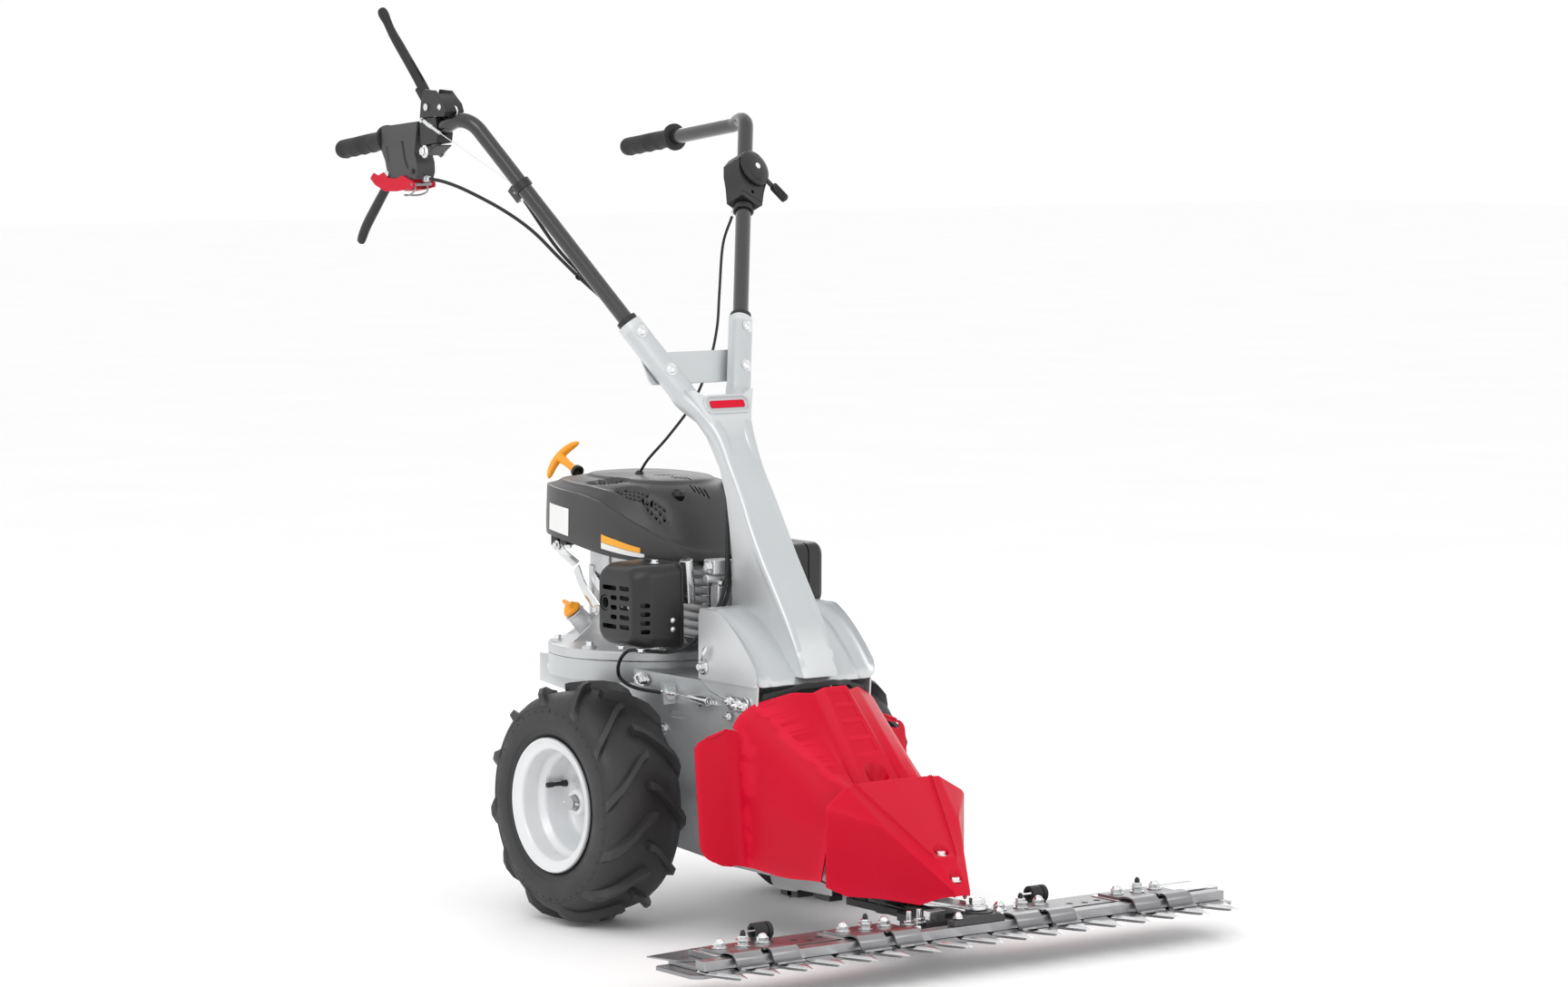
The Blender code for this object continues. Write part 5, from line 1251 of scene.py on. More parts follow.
BAR_X = -0.249
CLUTCH_PIVOT, DRIVE_PIVOT = Vector((BAR_X, 0.2876, 1.1118)), Vector((BAR_X, 0.392, 1.018))
GRIP_ALONG = (TUBE_TIP - GRIP_LINE).normalized()
CABLES = {
    "cable_clutch": ([
        (-0.18, 0.17, 0.983), (-0.1484, 0.14, 0.92), (-0.1195, 0.118, 0.88),
        (-0.096, 0.098, 0.848), (-0.0742, 0.08, 0.8187), (-0.044, 0.052, 0.77),
        (-0.018, 0.025, 0.725), (-0.008, -0.015, 0.68), (-0.009, -0.056, 0.63),
        (-0.018, -0.083, 0.59), (-0.029, -0.099, 0.55), (-0.0345, -0.106, 0.51),
        (-0.0375, -0.1075, 0.468), (-0.052, -0.1075, 0.43), (-0.084, -0.11, 0.396),
        (-0.108, -0.105, 0.38), (-0.118, -0.083, 0.373), (-0.123, -0.05, 0.3715),
        (-0.125, -0.007, 0.369), (-0.126, 0.013, 0.359), (-0.125, 0.025, 0.342),
        (-0.12, 0.026, 0.326), (-0.112, 0.002, 0.315), (-0.1068, -0.069, 0.3135)], 0.0025),
    "cable_drive": ([
        (-0.249, 0.305, 1.0118), (-0.235, 0.285, 1.007), (-0.2123, 0.262, 0.9943),
        (-0.176, 0.228, 0.968), (-0.146, 0.2, 0.9389), (-0.127, 0.165, 0.904),
        (-0.11, 0.135, 0.874), (-0.086, 0.105, 0.841), (-0.06, 0.08, 0.805),
        (-0.032, 0.054, 0.765), (-0.01, 0.03, 0.72), (-0.002, -0.01, 0.675),
        (-0.004, -0.05, 0.625), (-0.012, -0.076, 0.585), (-0.023, -0.093, 0.545),
        (-0.029, -0.101, 0.505), (-0.0305, -0.106, 0.46), (-0.046, -0.106, 0.42),
        (-0.07, -0.11, 0.38), (-0.082, -0.13, 0.36), (-0.082, -0.15, 0.356)], 0.0025),
    "cable_throttle": ([
        (0.169, 0.16, 0.956), (0.16, 0.17, 0.915), (0.132, 0.14, 0.85),
        (0.102, 0.105, 0.8), (0.062, 0.07, 0.75), (0.02, 0.05, 0.7),
        (-0.013, 0.06, 0.656), (-0.027, 0.09, 0.622), (-0.03, 0.108, 0.601)], 0.002)}


def side_prism(outline, half, centre=BAR_X):
    """A prism of a (y, z) outline that reaches half to each side of the right handlebar."""
    return slab_x(outline, centre - half, centre + half)


def bar_bore():
    """A rod where the right handlebar passes, with a little play."""
    start = on_side(GRIP_LINE, RIGHT)
    return rod(start - GRIP_ALONG * 0.03, start + GRIP_ALONG * 0.2, TUBE_R + 0.0003, 32)


def make_clutch_lever():
    """The raised lever of the engine clutch, its sheet bracket, clamp and pull wire."""
    y, z = CLUTCH_PIVOT.y, CLUTCH_PIVOT.z
    cheeks = [(0.2957, 1.1367), (0.2685, 1.1351), (0.2561, 1.1255), (0.244, 1.1166), (0.239, 1.106),
              (0.244, 1.099), (0.272, 1.099), (0.306, 1.096), (0.303, 1.118)]
    room = [(0.258, 1.101), (0.264, 1.14), (0.33, 1.14), (0.33, 1.0985), (0.258, 1.0985)]
    box_mesh = cut(side_prism(cheeks, 0.0155), side_prism(room, 0.0105))
    clamp = [(0.31, 1.096), (0.3092, 1.0667), (0.3052, 1.0532), (0.2927, 1.0443), (0.2674, 1.0581),
             (0.264, 1.075), (0.269, 1.0985)]
    clamp_mesh = cut(side_prism(clamp, 0.013), bar_bore(),
                     side_prism([(0.255, 1.064), (0.255, 1.061), (0.32, 1.053), (0.32, 1.056)], 0.02))
    piece("clutch_bracket_shell", joined(box_mesh, clamp_mesh), BLACK, "frame", ("clutch_lever_bracket",),
          bevel=0.0012)
    piece("clutch_pin", joined(rod((BAR_X - 0.0165, y, z), (BAR_X + 0.0165, y, z), 0.0028, 20),
                               rod((BAR_X - 0.0178, y, z), (BAR_X - 0.016, y, z), 0.0052, 24)), ZINC, bevel=0.0004)
    piece("clamp_bolt", hex_head((BAR_X - 0.013, 0.296, 1.05), -X, 0.0062, 0.0055), ZINC)
    piece("clamp_nut", hex_head((BAR_X + 0.013, 0.296, 1.05), X, 0.0058, 0.0045), ZINC)
    piece("bracket_screw", dome_bolt((BAR_X - 0.0155, 0.2542, 1.112), -X, 0.0034), ZINC)
    loop = smooth([(BAR_X, 0.244, 1.11), (BAR_X - 0.003, 0.233, 1.113), (BAR_X - 0.002, 0.229, 1.106),
                   (BAR_X, 0.236, 1.1), (BAR_X + 0.002, 0.244, 1.1)], 20)
    piece("bracket_split_pin", sweep(loop, 0.001, 10), ZINC)
    line = [(0.305, 1.119), (0.3127, 1.129), (0.3252, 1.1435), (0.3461, 1.1639), (0.3798, 1.1959), (0.3968, 1.2119),
            (0.406, 1.222), (0.4137, 1.2315), (0.423, 1.242), (0.4285, 1.2475), (0.431, 1.25)]
    radii = [0.008, 0.0082, 0.0078, 0.0074, 0.0072, 0.0068, 0.0064, 0.0066, 0.0078, 0.0064, 0.0022]
    path = smooth([(BAR_X, *p, r) for p, r in zip(line, radii)], 60)
    shaft = skin(tube_rings([p[:3] for p in path], [p[3] for p in path], 28, 0.92, X))
    flank = Vector((0, 0.707, -0.707))
    grooves = [prism(rounded(0.004, 0.044, 0.0018), 0.0052, 0.02, side, (BAR_X, 0.339, 1.1575), (0, 0.72, 0.69))
               for side in (-flank, flank)]
    boot = side_prism([(0.309, 1.133), (0.324, 1.14), (0.33, 1.136), (0.32, 1.1262), (0.308, 1.114),
                       (0.298, 1.105), (0.288, 1.103), (0.28, 1.108), (0.282, 1.119), (0.296, 1.126)], 0.0098)
    piece("clutch_lever_grip", cut(shaft, *grooves), RUBBER, "clutch_lever", ("clutch_lever",), sharp=50)
    piece("clutch_lever_boot", boot, RUBBER, "clutch_lever", bevel=0.0042, steps=5)
    barrel_start, barrel_end = Vector((-0.2625, 0.303, 1.095)), Vector((-0.2625, 0.256, 1.076))
    pull = (barrel_end - barrel_start).normalized()
    fork = joined(rod(barrel_start, barrel_start + pull * 0.03, 0.0036, 20, 0.0006),
                  rod(barrel_start + pull * 0.03, barrel_end, 0.0026, 16, 0.0005),
                  rod(barrel_start + pull * 0.006 - X * 0.006, barrel_start + pull * 0.006 + X * 0.006, 0.003, 16),
                  rod(barrel_start + pull * 0.018, barrel_start + pull * 0.022, 0.0046, 6))
    piece("pull_adjuster", fork, ZINC, "clutch_lever", bevel=0.0003)
    stop = Vector((-0.195, 0.185, 1.009))
    wire = piece("pull_wire", sweep([barrel_end.lerp(stop, k / 24) for k in range(25)], 0.0007, 8), ZINC, None)
    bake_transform(wire)
    along, front = tube_frame(RIGHT)
    seat = on_side(TUBE_FOOT, RIGHT) + along * ((1.004 - TUBE_FOOT.z) / along.z)
    clip = prism(rounded(0.013, 0.021, 0.003), -0.011, 0.011, along, seat - front * 0.0225, front)
    strap = ring_of(0.0113, 0.0136, 0.012, along, seat - along * 0.006, 36)
    piece("cable_stop", joined(clip, strap), BLACK, bevel=0.0008)
    piece("cable_stop_ferrule", joined(rod((-0.1905, 0.18, 0.999), (-0.18, 0.17, 0.983), 0.0034, 20, 0.0005),
                                       rod((-0.189, 0.1785, 0.9965), (-0.1872, 0.1768, 0.9938), 0.005, 6)), ZINC)


def make_drive_lever():
    """The lever under the handlebar: ribbed housing, red catch, blade, and the cable's ferrule."""
    outline = [(0.4075, 1.084), (0.4075, 1.0602), (0.4065, 1.048), (0.3985, 1.036), (0.3945, 1.024),
               (0.3908, 1.012), (0.375, 1.0085), (0.3437, 1.013), (0.33, 1.013), (0.319, 1.011),
               (0.314, 1.0214), (0.315, 1.035), (0.3215, 1.048), (0.3177, 1.0644), (0.313, 1.092)]
    grooves = []
    for x in (BAR_X - 0.015, BAR_X + 0.015):
        grooves.append(side_prism([(0.356, 1.064), (0.348, 1.064), (0.343, 1.04), (0.336, 1.026),
                                   (0.34, 1.026), (0.348, 1.038)], 0.0018, x))
        grooves.append(side_prism([(0.396, 1.056), (0.39, 1.056), (0.386, 1.035), (0.39, 1.035)], 0.001, x))
    room = block((BAR_X - 0.009, 0.35, 0.99), (BAR_X + 0.009, 0.42, 1.036))
    housing = cut(side_prism(outline, 0.015), bar_bore(), room, *grooves)
    piece("drive_housing_shell", housing, GREY, "frame", ("drive_lever_housing",), bevel=0.0014, steps=3)
    cheeks = [(0.4342, 1.0106), (0.4254, 1.0187), (0.413, 1.015), (0.3994, 1.0198), (0.3866, 1.0124),
              (0.366, 1.011), (0.348, 1.0164), (0.338, 1.013), (0.318, 1.007), (0.318, 1.0),
              (0.342, 0.996), (0.3654, 0.9934), (0.3955, 0.9929), (0.4213, 1.0016)]
    catch = cut(side_prism(cheeks, 0.0182), block((BAR_X - 0.0155, 0.318, 0.9965), (BAR_X + 0.0155, 0.45, 1.03)),
                block((BAR_X - 0.0155, 0.35, 0.98), (BAR_X + 0.0155, 0.45, 1.03)))
    piece("catch_shell", catch, RED, "safety_catch", ("safety_catch",), bevel=0.0009, steps=3)
    hinge = rod((BAR_X - 0.019, 0.323, 1.004), (BAR_X + 0.019, 0.323, 1.004), 0.0022, 16)
    piece("catch_hinge_pin", hinge, STEEL, bevel=0.0003)
    hook = smooth([(BAR_X - 0.01, 0.326, 1.001), (BAR_X - 0.011, 0.33, 0.993), (BAR_X - 0.008, 0.348, 0.988),
                   (BAR_X, 0.37, 0.988), (BAR_X + 0.008, 0.348, 0.988), (BAR_X + 0.011, 0.33, 0.993),
                   (BAR_X + 0.01, 0.326, 1.001)], 40)
    piece("catch_spring", sweep(hook, 0.0013, 10), STEEL, "safety_catch")
    line = [(0.393, 1.017), (0.404, 1.009), (0.417, 0.9994), (0.4479, 0.9689), (0.4746, 0.941), (0.488, 0.9215),
            (0.4908, 0.9172)]
    radii = [0.006, 0.0066, 0.0072, 0.0078, 0.0078, 0.007, 0.003]
    path = smooth([(BAR_X, *p, r) for p, r in zip(line, radii)], 44)
    blade = skin(tube_rings([p[:3] for p in path], [p[3] for p in path], 26, 0.82, X))
    hub = rod(DRIVE_PIVOT - X * 0.008, DRIVE_PIVOT + X * 0.008, 0.0098, 32, 0.0008)
    horn = side_prism([(0.396, 1.026), (0.396, 1.014), (0.36, 1.015), (0.356, 1.019), (0.36, 1.024)], 0.004)
    blade = cut(blade, rod(DRIVE_PIVOT - X * 0.02, DRIVE_PIVOT + X * 0.02, 0.006, 24))
    piece("drive_blade", joined(blade, hub, horn), BLACK, "drive_lever", ("drive_lever",), bevel=0.0008, sharp=50)
    piece("drive_pin", joined(rod(DRIVE_PIVOT - X * 0.0165, DRIVE_PIVOT + X * 0.0165, 0.003, 20),
                              rod(DRIVE_PIVOT - X * 0.0172, DRIVE_PIVOT - X * 0.015, 0.005, 24)), ZINC, bevel=0.0004)
    rivet = revolve([(0, 0), (0, 0.0038), (0.002, 0.0038), (0.0026, 0.0028), (0.0026, 0)], 20, -X,
                    (BAR_X - 0.015, 0.325, 1.022))
    piece("housing_rivet", rivet, BLACK)
    ferrule = joined(rod((BAR_X, 0.32, 1.0116), (BAR_X, 0.304, 1.0118), 0.003, 20, 0.0005),
                     rod((BAR_X, 0.3185, 1.0116), (BAR_X, 0.313, 1.0117), 0.005, 6),
                     rod((BAR_X, 0.309, 1.0116), (BAR_X, 0.3065, 1.0117), 0.0042, 20))
    piece("drive_ferrule", ferrule, ZINC, bevel=0.0003)
    sticker = []
    for radius in (0.01105, 0.0115):
        for far in (0.124, 0.148):
            at = on_side(GRIP_LINE, RIGHT) + GRIP_ALONG * far
            up = X.cross(GRIP_ALONG)
            sticker.append([at + (up * math.sin(a) - X * math.cos(a)) * radius
                            for a in (mix(-1.3, 1.3, k / 16) for k in range(17))])
    rings = [sticker[0], sticker[1], sticker[3], sticker[2], sticker[0]]
    bm = skin(rings, closed=False, cap_first=False, cap_last=False)
    bmesh.ops.remove_doubles(bm, verts=bm.verts, dist=0.00001)
    bmesh.ops.holes_fill(bm, edges=bm.edges)
    piece("bar_label", bm, LABEL)


def make_throttle():
    """The throttle: a tilted domed disc with a thumb paddle on a tapered housing clamped to the tube."""
    along, front = tube_frame(LEFT)
    across = along.cross(front)
    centre = on_side(TUBE_FOOT, LEFT) + along * ((1.015 - TUBE_FOOT.z) / along.z)

    def at(u, v, w=0.0):
        return centre + across * u + along * v + front * w

    body = [(-0.019, -0.056), (0.015, -0.06), (0.0205, -0.054), (0.023, -0.03), (0.027, -0.012),
            (0.0275, 0.006), (0.018, 0.0225), (0.0, 0.028), (-0.018, 0.0225), (-0.0275, 0.006),
            (-0.027, -0.012), (-0.0225, -0.03)]
    shell = cut(prism(body, -0.015, 0.0175, front, centre, along), rod(at(0, -0.1), at(0, 0.1), TUBE_R + 0.0003, 32),
                prism(rounded(0.005, 0.005, 0.0005), 0.013, 0.03, front, at(0.001, -0.04), along),
                prism(rounded(0.044, 0.0012, 0.0005), 0.0165, 0.03, front, at(0, -0.049), along))
    piece("throttle_shell", shell, BLACK, "frame", ("throttle_housing",), bevel=0.0022, steps=3)
    piece("throttle_clamp", ring_of(0.0113, 0.0148, 0.009, along, at(0, -0.068), 36), BLACK, bevel=0.0008)
    seat = at(0.0, 0.001, 0.018)
    dome = revolve([(0, 0), (0, 0.0262), (0.0022, 0.0272), (0.0048, 0.0264), (0.0072, 0.0222), (0.0088, 0.016),
                    (0.0096, 0.009), (0.0098, 0.004), (0.0098, 0)], 64, front, seat)
    slot = prism(rounded(0.011, 0.0014, 0.0006), 0.003, 0.02, front, seat + along * 0.0225, along)
    out = across * math.copysign(1, across.x)
    paddle = (out * 0.93 - along * 0.36).normalized()
    arm = sweep([seat + paddle * far + front * 0.003 for far in (0.02, 0.044)], 0.004, 16, 0.8, front)
    pad_at = seat + paddle * 0.052 + front * 0.004
    over = front.cross(paddle)
    pad = prism(rounded(0.03, 0.0125, 0.0042), -0.0036, 0.0036, front, pad_at, over)
    ridges = [prism(rounded(0.023, 0.0016, 0.0007), 0.0034, 0.0046, front, pad_at + over * off, over)
              for off in (-0.0028, 0.0, 0.0028)]
    piece("throttle_dial", cut(dome, slot), BLACK, "throttle_lever", ("throttle_lever",), bevel=0.0004, sharp=45)
    piece("throttle_paddle", joined(arm, pad, *ridges), BLACK, "throttle_lever", bevel=0.0009, steps=3)
    dot = revolve([(0.0092, 0), (0.0092, 0.0046), (0.0103, 0.0044), (0.0106, 0)], 28, front, seat)
    piece("throttle_dot", dot, LABEL, "throttle_lever")
    ticks = []
    for k in range(4):
        a = math.radians(-90 + (k - 1.5) * 14)
        radial = across * math.cos(a) + along * math.sin(a)
        ticks.append(prism(rounded(0.001, 0.0034, 0.0004), 0.007, 0.0083, front, seat + radial * 0.0205, radial))
    piece("throttle_ticks", joined(*ticks), BLACK, "throttle_lever")
    ferrule = joined(rod((0.172, 0.153, 0.976), (0.1695, 0.159, 0.959), 0.0034, 20, 0.0005),
                     rod((0.1713, 0.1545, 0.9715), (0.1709, 0.1555, 0.9685), 0.005, 6))
    piece("throttle_ferrule", ferrule, ZINC, bevel=0.0003)


def make_cables():
    """The three sheathed cables, held at both ends, with end sleeves and two ties."""
    for name, (points, radius) in CABLES.items():
        piece(name + "_sheath", sweep(smooth(points, 150), radius, 14), RUBBER, "frame", (name,))
    for k, at in enumerate(((-0.112, 0.133, 0.876), (-0.007, 0.008, 0.702))):
        tie = ring_of(0.006, 0.0072, 0.004, (0.5, 0.5, 0.7), at, 24)
        piece("cable_tie_%d" % k, tie, BLACK, bevel=0.0004)
    end = CABLES["cable_throttle"][0][-1]
    grommet = revolve([(0, 0.0022), (0, 0.007), (0.003, 0.006), (0.006, 0.0034), (0.006, 0.0022)], 24, Z,
                      (end[0], end[1], 0.5985))
    piece("cable_grommet", grommet, RUBBER)


# Linkage on the chassis side

def make_linkage():
    """The clutch cable's eye, the turnbuckle, spring and belt clutch arm, and the adjuster."""
    side = -0.0969
    diamond = [(-0.02, 0.0), (-0.012, 0.0075), (0, 0.01), (0.012, 0.0075), (0.02, 0.0), (0.012, -0.0075),
               (0, -0.01), (-0.012, -0.0075)]
    eye = cut(prism(diamond, 0, 0.003, -X, (side, 0.005, 0.326), Z),
              prism(circle(0.003, 16, (-0.01, 0)), -0.01, 0.01, -X, (side, 0.005, 0.326), Z))
    piece("linkage_eye_plate", eye, ZINC, bevel=0.0008)
    piece("linkage_eye_bolt", hex_head((side - 0.003, 0.001, 0.3255), -X, 0.0062, 0.005), ZINC)
    bracket = joined(block((-0.1169, -0.073, 0.3), (side, -0.07, 0.328)),
                     block((-0.0994, -0.073, 0.3), (side, -0.04, 0.328)))
    piece("cable_bracket_pressing", cut(bracket, rod((-0.1068, -0.08, 0.315), (-0.1068, -0.06, 0.315), 0.0036, 20)),
          SILVER, "frame", ("cable_bracket",), bevel=0.0008)
    eyelet = joined(ring_of(0.003, 0.0095, 0.0035, Y, (-0.1068, -0.0755, 0.3152), 28),
                    rod((-0.1068, -0.056, 0.3151), (-0.1068, -0.07, 0.3152), 0.0042, 20, 0.0006),
                    rod((-0.1068, -0.0755, 0.3152), (-0.1068, -0.087, 0.3152), 0.0034, 20, 0.0006))
    piece("cable_eyelet", eyelet, ZINC, bevel=0.0004)
    piece("linkage_wire", rod((-0.1068, -0.085, 0.3152), (-0.1069, -0.119, 0.314), 0.0008, 10), ZINC)
    barrel = revolve([(0, 0.0012), (0, 0.004), (0.004, 0.0062), (0.044, 0.0062), (0.046, 0.0058),
                      (0.046, 0.004), (0.03, 0.004), (0.029, 0.0012)], 32, (0, -1, -0.03),
                     (-0.1069, -0.117, 0.3142))
    piece("turnbuckle_barrel", barrel, ZINC, "frame", ("cable_turnbuckle",), bevel=0.0005)
    coil = [(-0.1069 + 0.0026 * math.cos(a), -0.16 - 0.0011 * a, 0.3128 + 0.0026 * math.sin(a))
            for a in (0.5 * k for k in range(50))]
    coil += [(-0.1069, -0.19, 0.314), (-0.105, -0.196, 0.317), (-0.104, -0.201, 0.316)]
    piece("linkage_spring", sweep(coil, 0.0008, 10), ZINC)
    arm = cut(prism(rounded(0.02, 0.046, 0.0085), -0.0015, 0.0015, X, (-0.099, -0.22, 0.315), Y),
              prism(circle(0.0034, 20, (0, 0.014)), -0.01, 0.01, X, (-0.099, -0.22, 0.315), Y))
    piece("belt_clutch_lever", arm, ZINC, "frame", ("belt_clutch_arm",), bevel=0.0006)
    for k, (y, z, r) in enumerate(((-0.2, 0.317, 0.005), (-0.218, 0.313, 0.0062), (-0.2, 0.296, 0.0044),
                                   (-0.233, 0.312, 0.005))):
        piece("linkage_nut_%d" % k, joined(hex_head((-0.1004, y, z), -X, r, r * 0.8),
                                           rod((-0.1004, y, z), (-0.1004 - r * 1.9, y, z), r * 0.45, 16)), ZINC)
    at = Vector((-0.1004, -0.1418, 0.3576))
    flange = [(0, 0), (0, 0.0108), (0.0012, 0.0108), (0.002, 0.0085), (0.0032, 0.0085), (0.0032, 0)]
    pointer = [(-0.003, -0.002, 0.004), (-0.006, -0.006, 0.012), (-0.0065, -0.0105, 0.021),
               (-0.0055, -0.0147, 0.029)]
    head = joined(revolve(flange, 28, -X, at),
                  revolve([(0.003, 0), (0.003, 0.0062), (0.008, 0.006), (0.0088, 0.005), (0.0088, 0)], 6, -X, at),
                  sweep(smooth([at + Vector(p) for p in pointer], 14),
                        [0.0022, 0.0022, 0.0023, 0.0024, 0.0026, 0.0028, 0.0031, 0.0034, 0.0037, 0.0039, 0.0039,
                         0.0036, 0.003, 0.0018], 16, 0.55, X))
    piece("adjuster_handle", head, ZINC, "adjuster_lever", ("adjuster_lever",), bevel=0.0003)


# Cutter bar and knife drive

TEETH, TOOTH_PITCH, ROOT_Y, BAR_REAR, BAR_END = 17, 0.0508, -0.606, -0.515, 0.4475
HOLD_DOWNS = (-0.338, -0.1435, 0.115, 0.318)
PIN, ARM_PIVOT = Vector((0.0254, -0.575, 0.0745)), Vector((0, -0.425, 0.0745))
KNIFE_DRIVE_Z = 0.125


def slab_z(outline, low, high):
    """A prism along Z of an outline given as (x, y) points."""
    return skin([[(x, y, z) for x, y in outline] for z in (low, high)])


def teeth():
    """The x of each finger and each knife section."""
    return [(k - (TEETH - 1) / 2) * TOOTH_PITCH for k in range(TEETH)]


def thick_line(points, thick):
    """The closed outline of a bent sheet whose middle runs through the points."""
    points = [Vector(p) for p in points]
    above, below = [], []
    for k, point in enumerate(points):
        ahead = (points[min(k + 1, len(points) - 1)] - points[max(k - 1, 0)]).normalized()
        side = Vector((-ahead.y, ahead.x)) * thick / 2
        above.append(tuple(point + side))
        below.append(tuple(point - side))
    return above + below[::-1]


def cap_nut(seat, radius=0.0078, height=0.0125):
    """A domed hexagon nut on a broad washer."""
    low, shoulder = 0.0016, height * 0.55
    washer = revolve([(0, 0), (0, radius * 1.3), (low, radius * 1.3), (low, 0)], 28, Z, seat)
    body = revolve([(low, 0), (low, radius), (shoulder, radius), (shoulder + 0.0008, radius * 0.86),
                    (shoulder + 0.0008, 0)], 6, Z, seat)
    dome = [(shoulder, 0), (shoulder, radius * 0.8)]
    dome += [(shoulder + (height - shoulder) * math.sin(a), radius * 0.8 * math.cos(a)) for a in (0.4, 0.8, 1.15)]
    return joined(washer, body, revolve(dome + [(height, 0)], 24, Z, seat))


def make_fingers():
    """The fixed bar: V-shaped fingers under a strip, with raised base plates on either side."""
    strip = slab_z([(-BAR_END + 0.006, BAR_REAR), (-BAR_END, BAR_REAR - 0.006), (-BAR_END, ROOT_Y + 0.01),
                   (-BAR_END + 0.012, ROOT_Y), (BAR_END - 0.006, ROOT_Y), (BAR_END, ROOT_Y + 0.006),
                   (BAR_END, BAR_REAR)], 0.0397, 0.0443)
    parts = [strip]
    for x in teeth():
        rings = []
        for y, top, low, drop in ((ROOT_Y + 0.012, 0.02, 0.012, 0.0395), (ROOT_Y, 0.019, 0.0105, 0.0395),
                                  (-0.626, 0.0112, 0.005, 0.0397), (-0.642, 0.004, 0.0014, 0.0405),
                                  (-0.645, 0.0016, 0.0006, 0.0415)):
            rings.append([(x - top, y, 0.0441), (x - low, y, drop), (x + low, y, drop), (x + top, y, 0.0441)])
        parts.append(skin(rings))
    piece("finger_bar", joined(*parts), STEEL, "frame", ("cutter_base",), bevel=0.0005)
    for name, low, high, holes in (
            ("right", -0.395, -0.08, ((-0.2503, -0.545), (-0.234, -0.556), (-0.212, -0.548))),
            ("left", 0.08, BAR_END, ((0.2009, -0.5541), (0.2218, -0.56), (0.2464, -0.556)))):
        foot = block((low - 0.03 if low < 0 else low, -0.5745, 0.0446), (high, BAR_REAR - 0.0008, 0.0498))
        piece("bar_foot_" + name, foot, STEEL, bevel=0.0008)
        outline = rounded(high - low, 0.0595, 0.003, 4, ((low + high) / 2, -0.545))
        tools = [prism(circle(0.0048, 24), 0.04, 0.07, Z, (x, y, 0)) for x, y in holes]
        piece("bar_plate_" + name, cut(slab_z(outline, 0.0524, 0.06), *tools), STEEL, bevel=0.0007)
    blade = [(-0.44, -0.49), (-0.33, -0.478), (-0.33, -0.55), (-0.405, -0.5485), (-0.425, -0.539)]
    piece("end_plate_right", slab_z(blade, 0.0501, 0.0521), STEEL, bevel=0.0004)
    bright = rounded(0.082, 0.048, 0.004, 4, (0.4063, -0.554))
    piece("end_plate_left", slab_z(bright, 0.0602, 0.062), ZINC, bevel=0.0004)


def make_knife():
    """The sliding knife: ground sections on a flat back bar, with the drive block in the middle."""
    sections = []
    for x in teeth():
        rings = []
        for z, root, tip_y, tip in ((0.045, 0.0236, -0.66, 0.0005), (0.0458, 0.0232, -0.659, 0.0005),
                                    (0.048, 0.0178, -0.646, 0.0012)):
            rings.append([(x - root, -0.5836, z), (x - root, -0.604, z), (x - tip, tip_y, z), (x + tip, tip_y, z),
                          (x + root, -0.604, z), (x + root, -0.5836, z)])
        sections.append(skin(rings))
    piece("knife_sections", joined(*sections), BLADE, "knife", ("knife",), sharp=20)
    bar = block((-0.4318, -0.603, 0.0482), (0.4318, -0.5837, 0.0604))
    piece("knife_bar", bar, STEEL, "knife", bevel=0.0009)
    (x, y), top = PIN.to_2d(), 0.0735
    wings = skin([[(px, yy, pz) for px, pz in ((-0.033, 0.0606), (-0.033, 0.0675), (-0.006, 0.0712),
                                               (0.044, 0.0712), (0.052, 0.066), (0.052, 0.0606))]
                  for yy in (-0.6015, -0.5855)])
    socket = cut(prism(circle(0.0185, 48), 0.047, top, Z, (x, y - 0.004, 0)),
                 prism(circle(0.0066, 28), 0.063, 0.08, Z, (x, y, 0)))
    ribs = [skin([[(x + side * px, yy, pz) for px, pz in ((0.015, 0.0606), (0.015, top - 0.0005), (0.03, 0.0606))]
                  for yy in (-0.5895, -0.5865)]) for side in (-1, 1)]
    piece("knife_block", joined(wings, socket, *ribs), IRON, "knife", bevel=0.0011)
    for k, seat in enumerate(((-0.021, -0.5935, 0.07), (0.047, -0.5935, 0.0692))):
        piece("block_bolt_%d" % k, cap_nut(seat, 0.0052, 0.0085), ZINC, "knife")


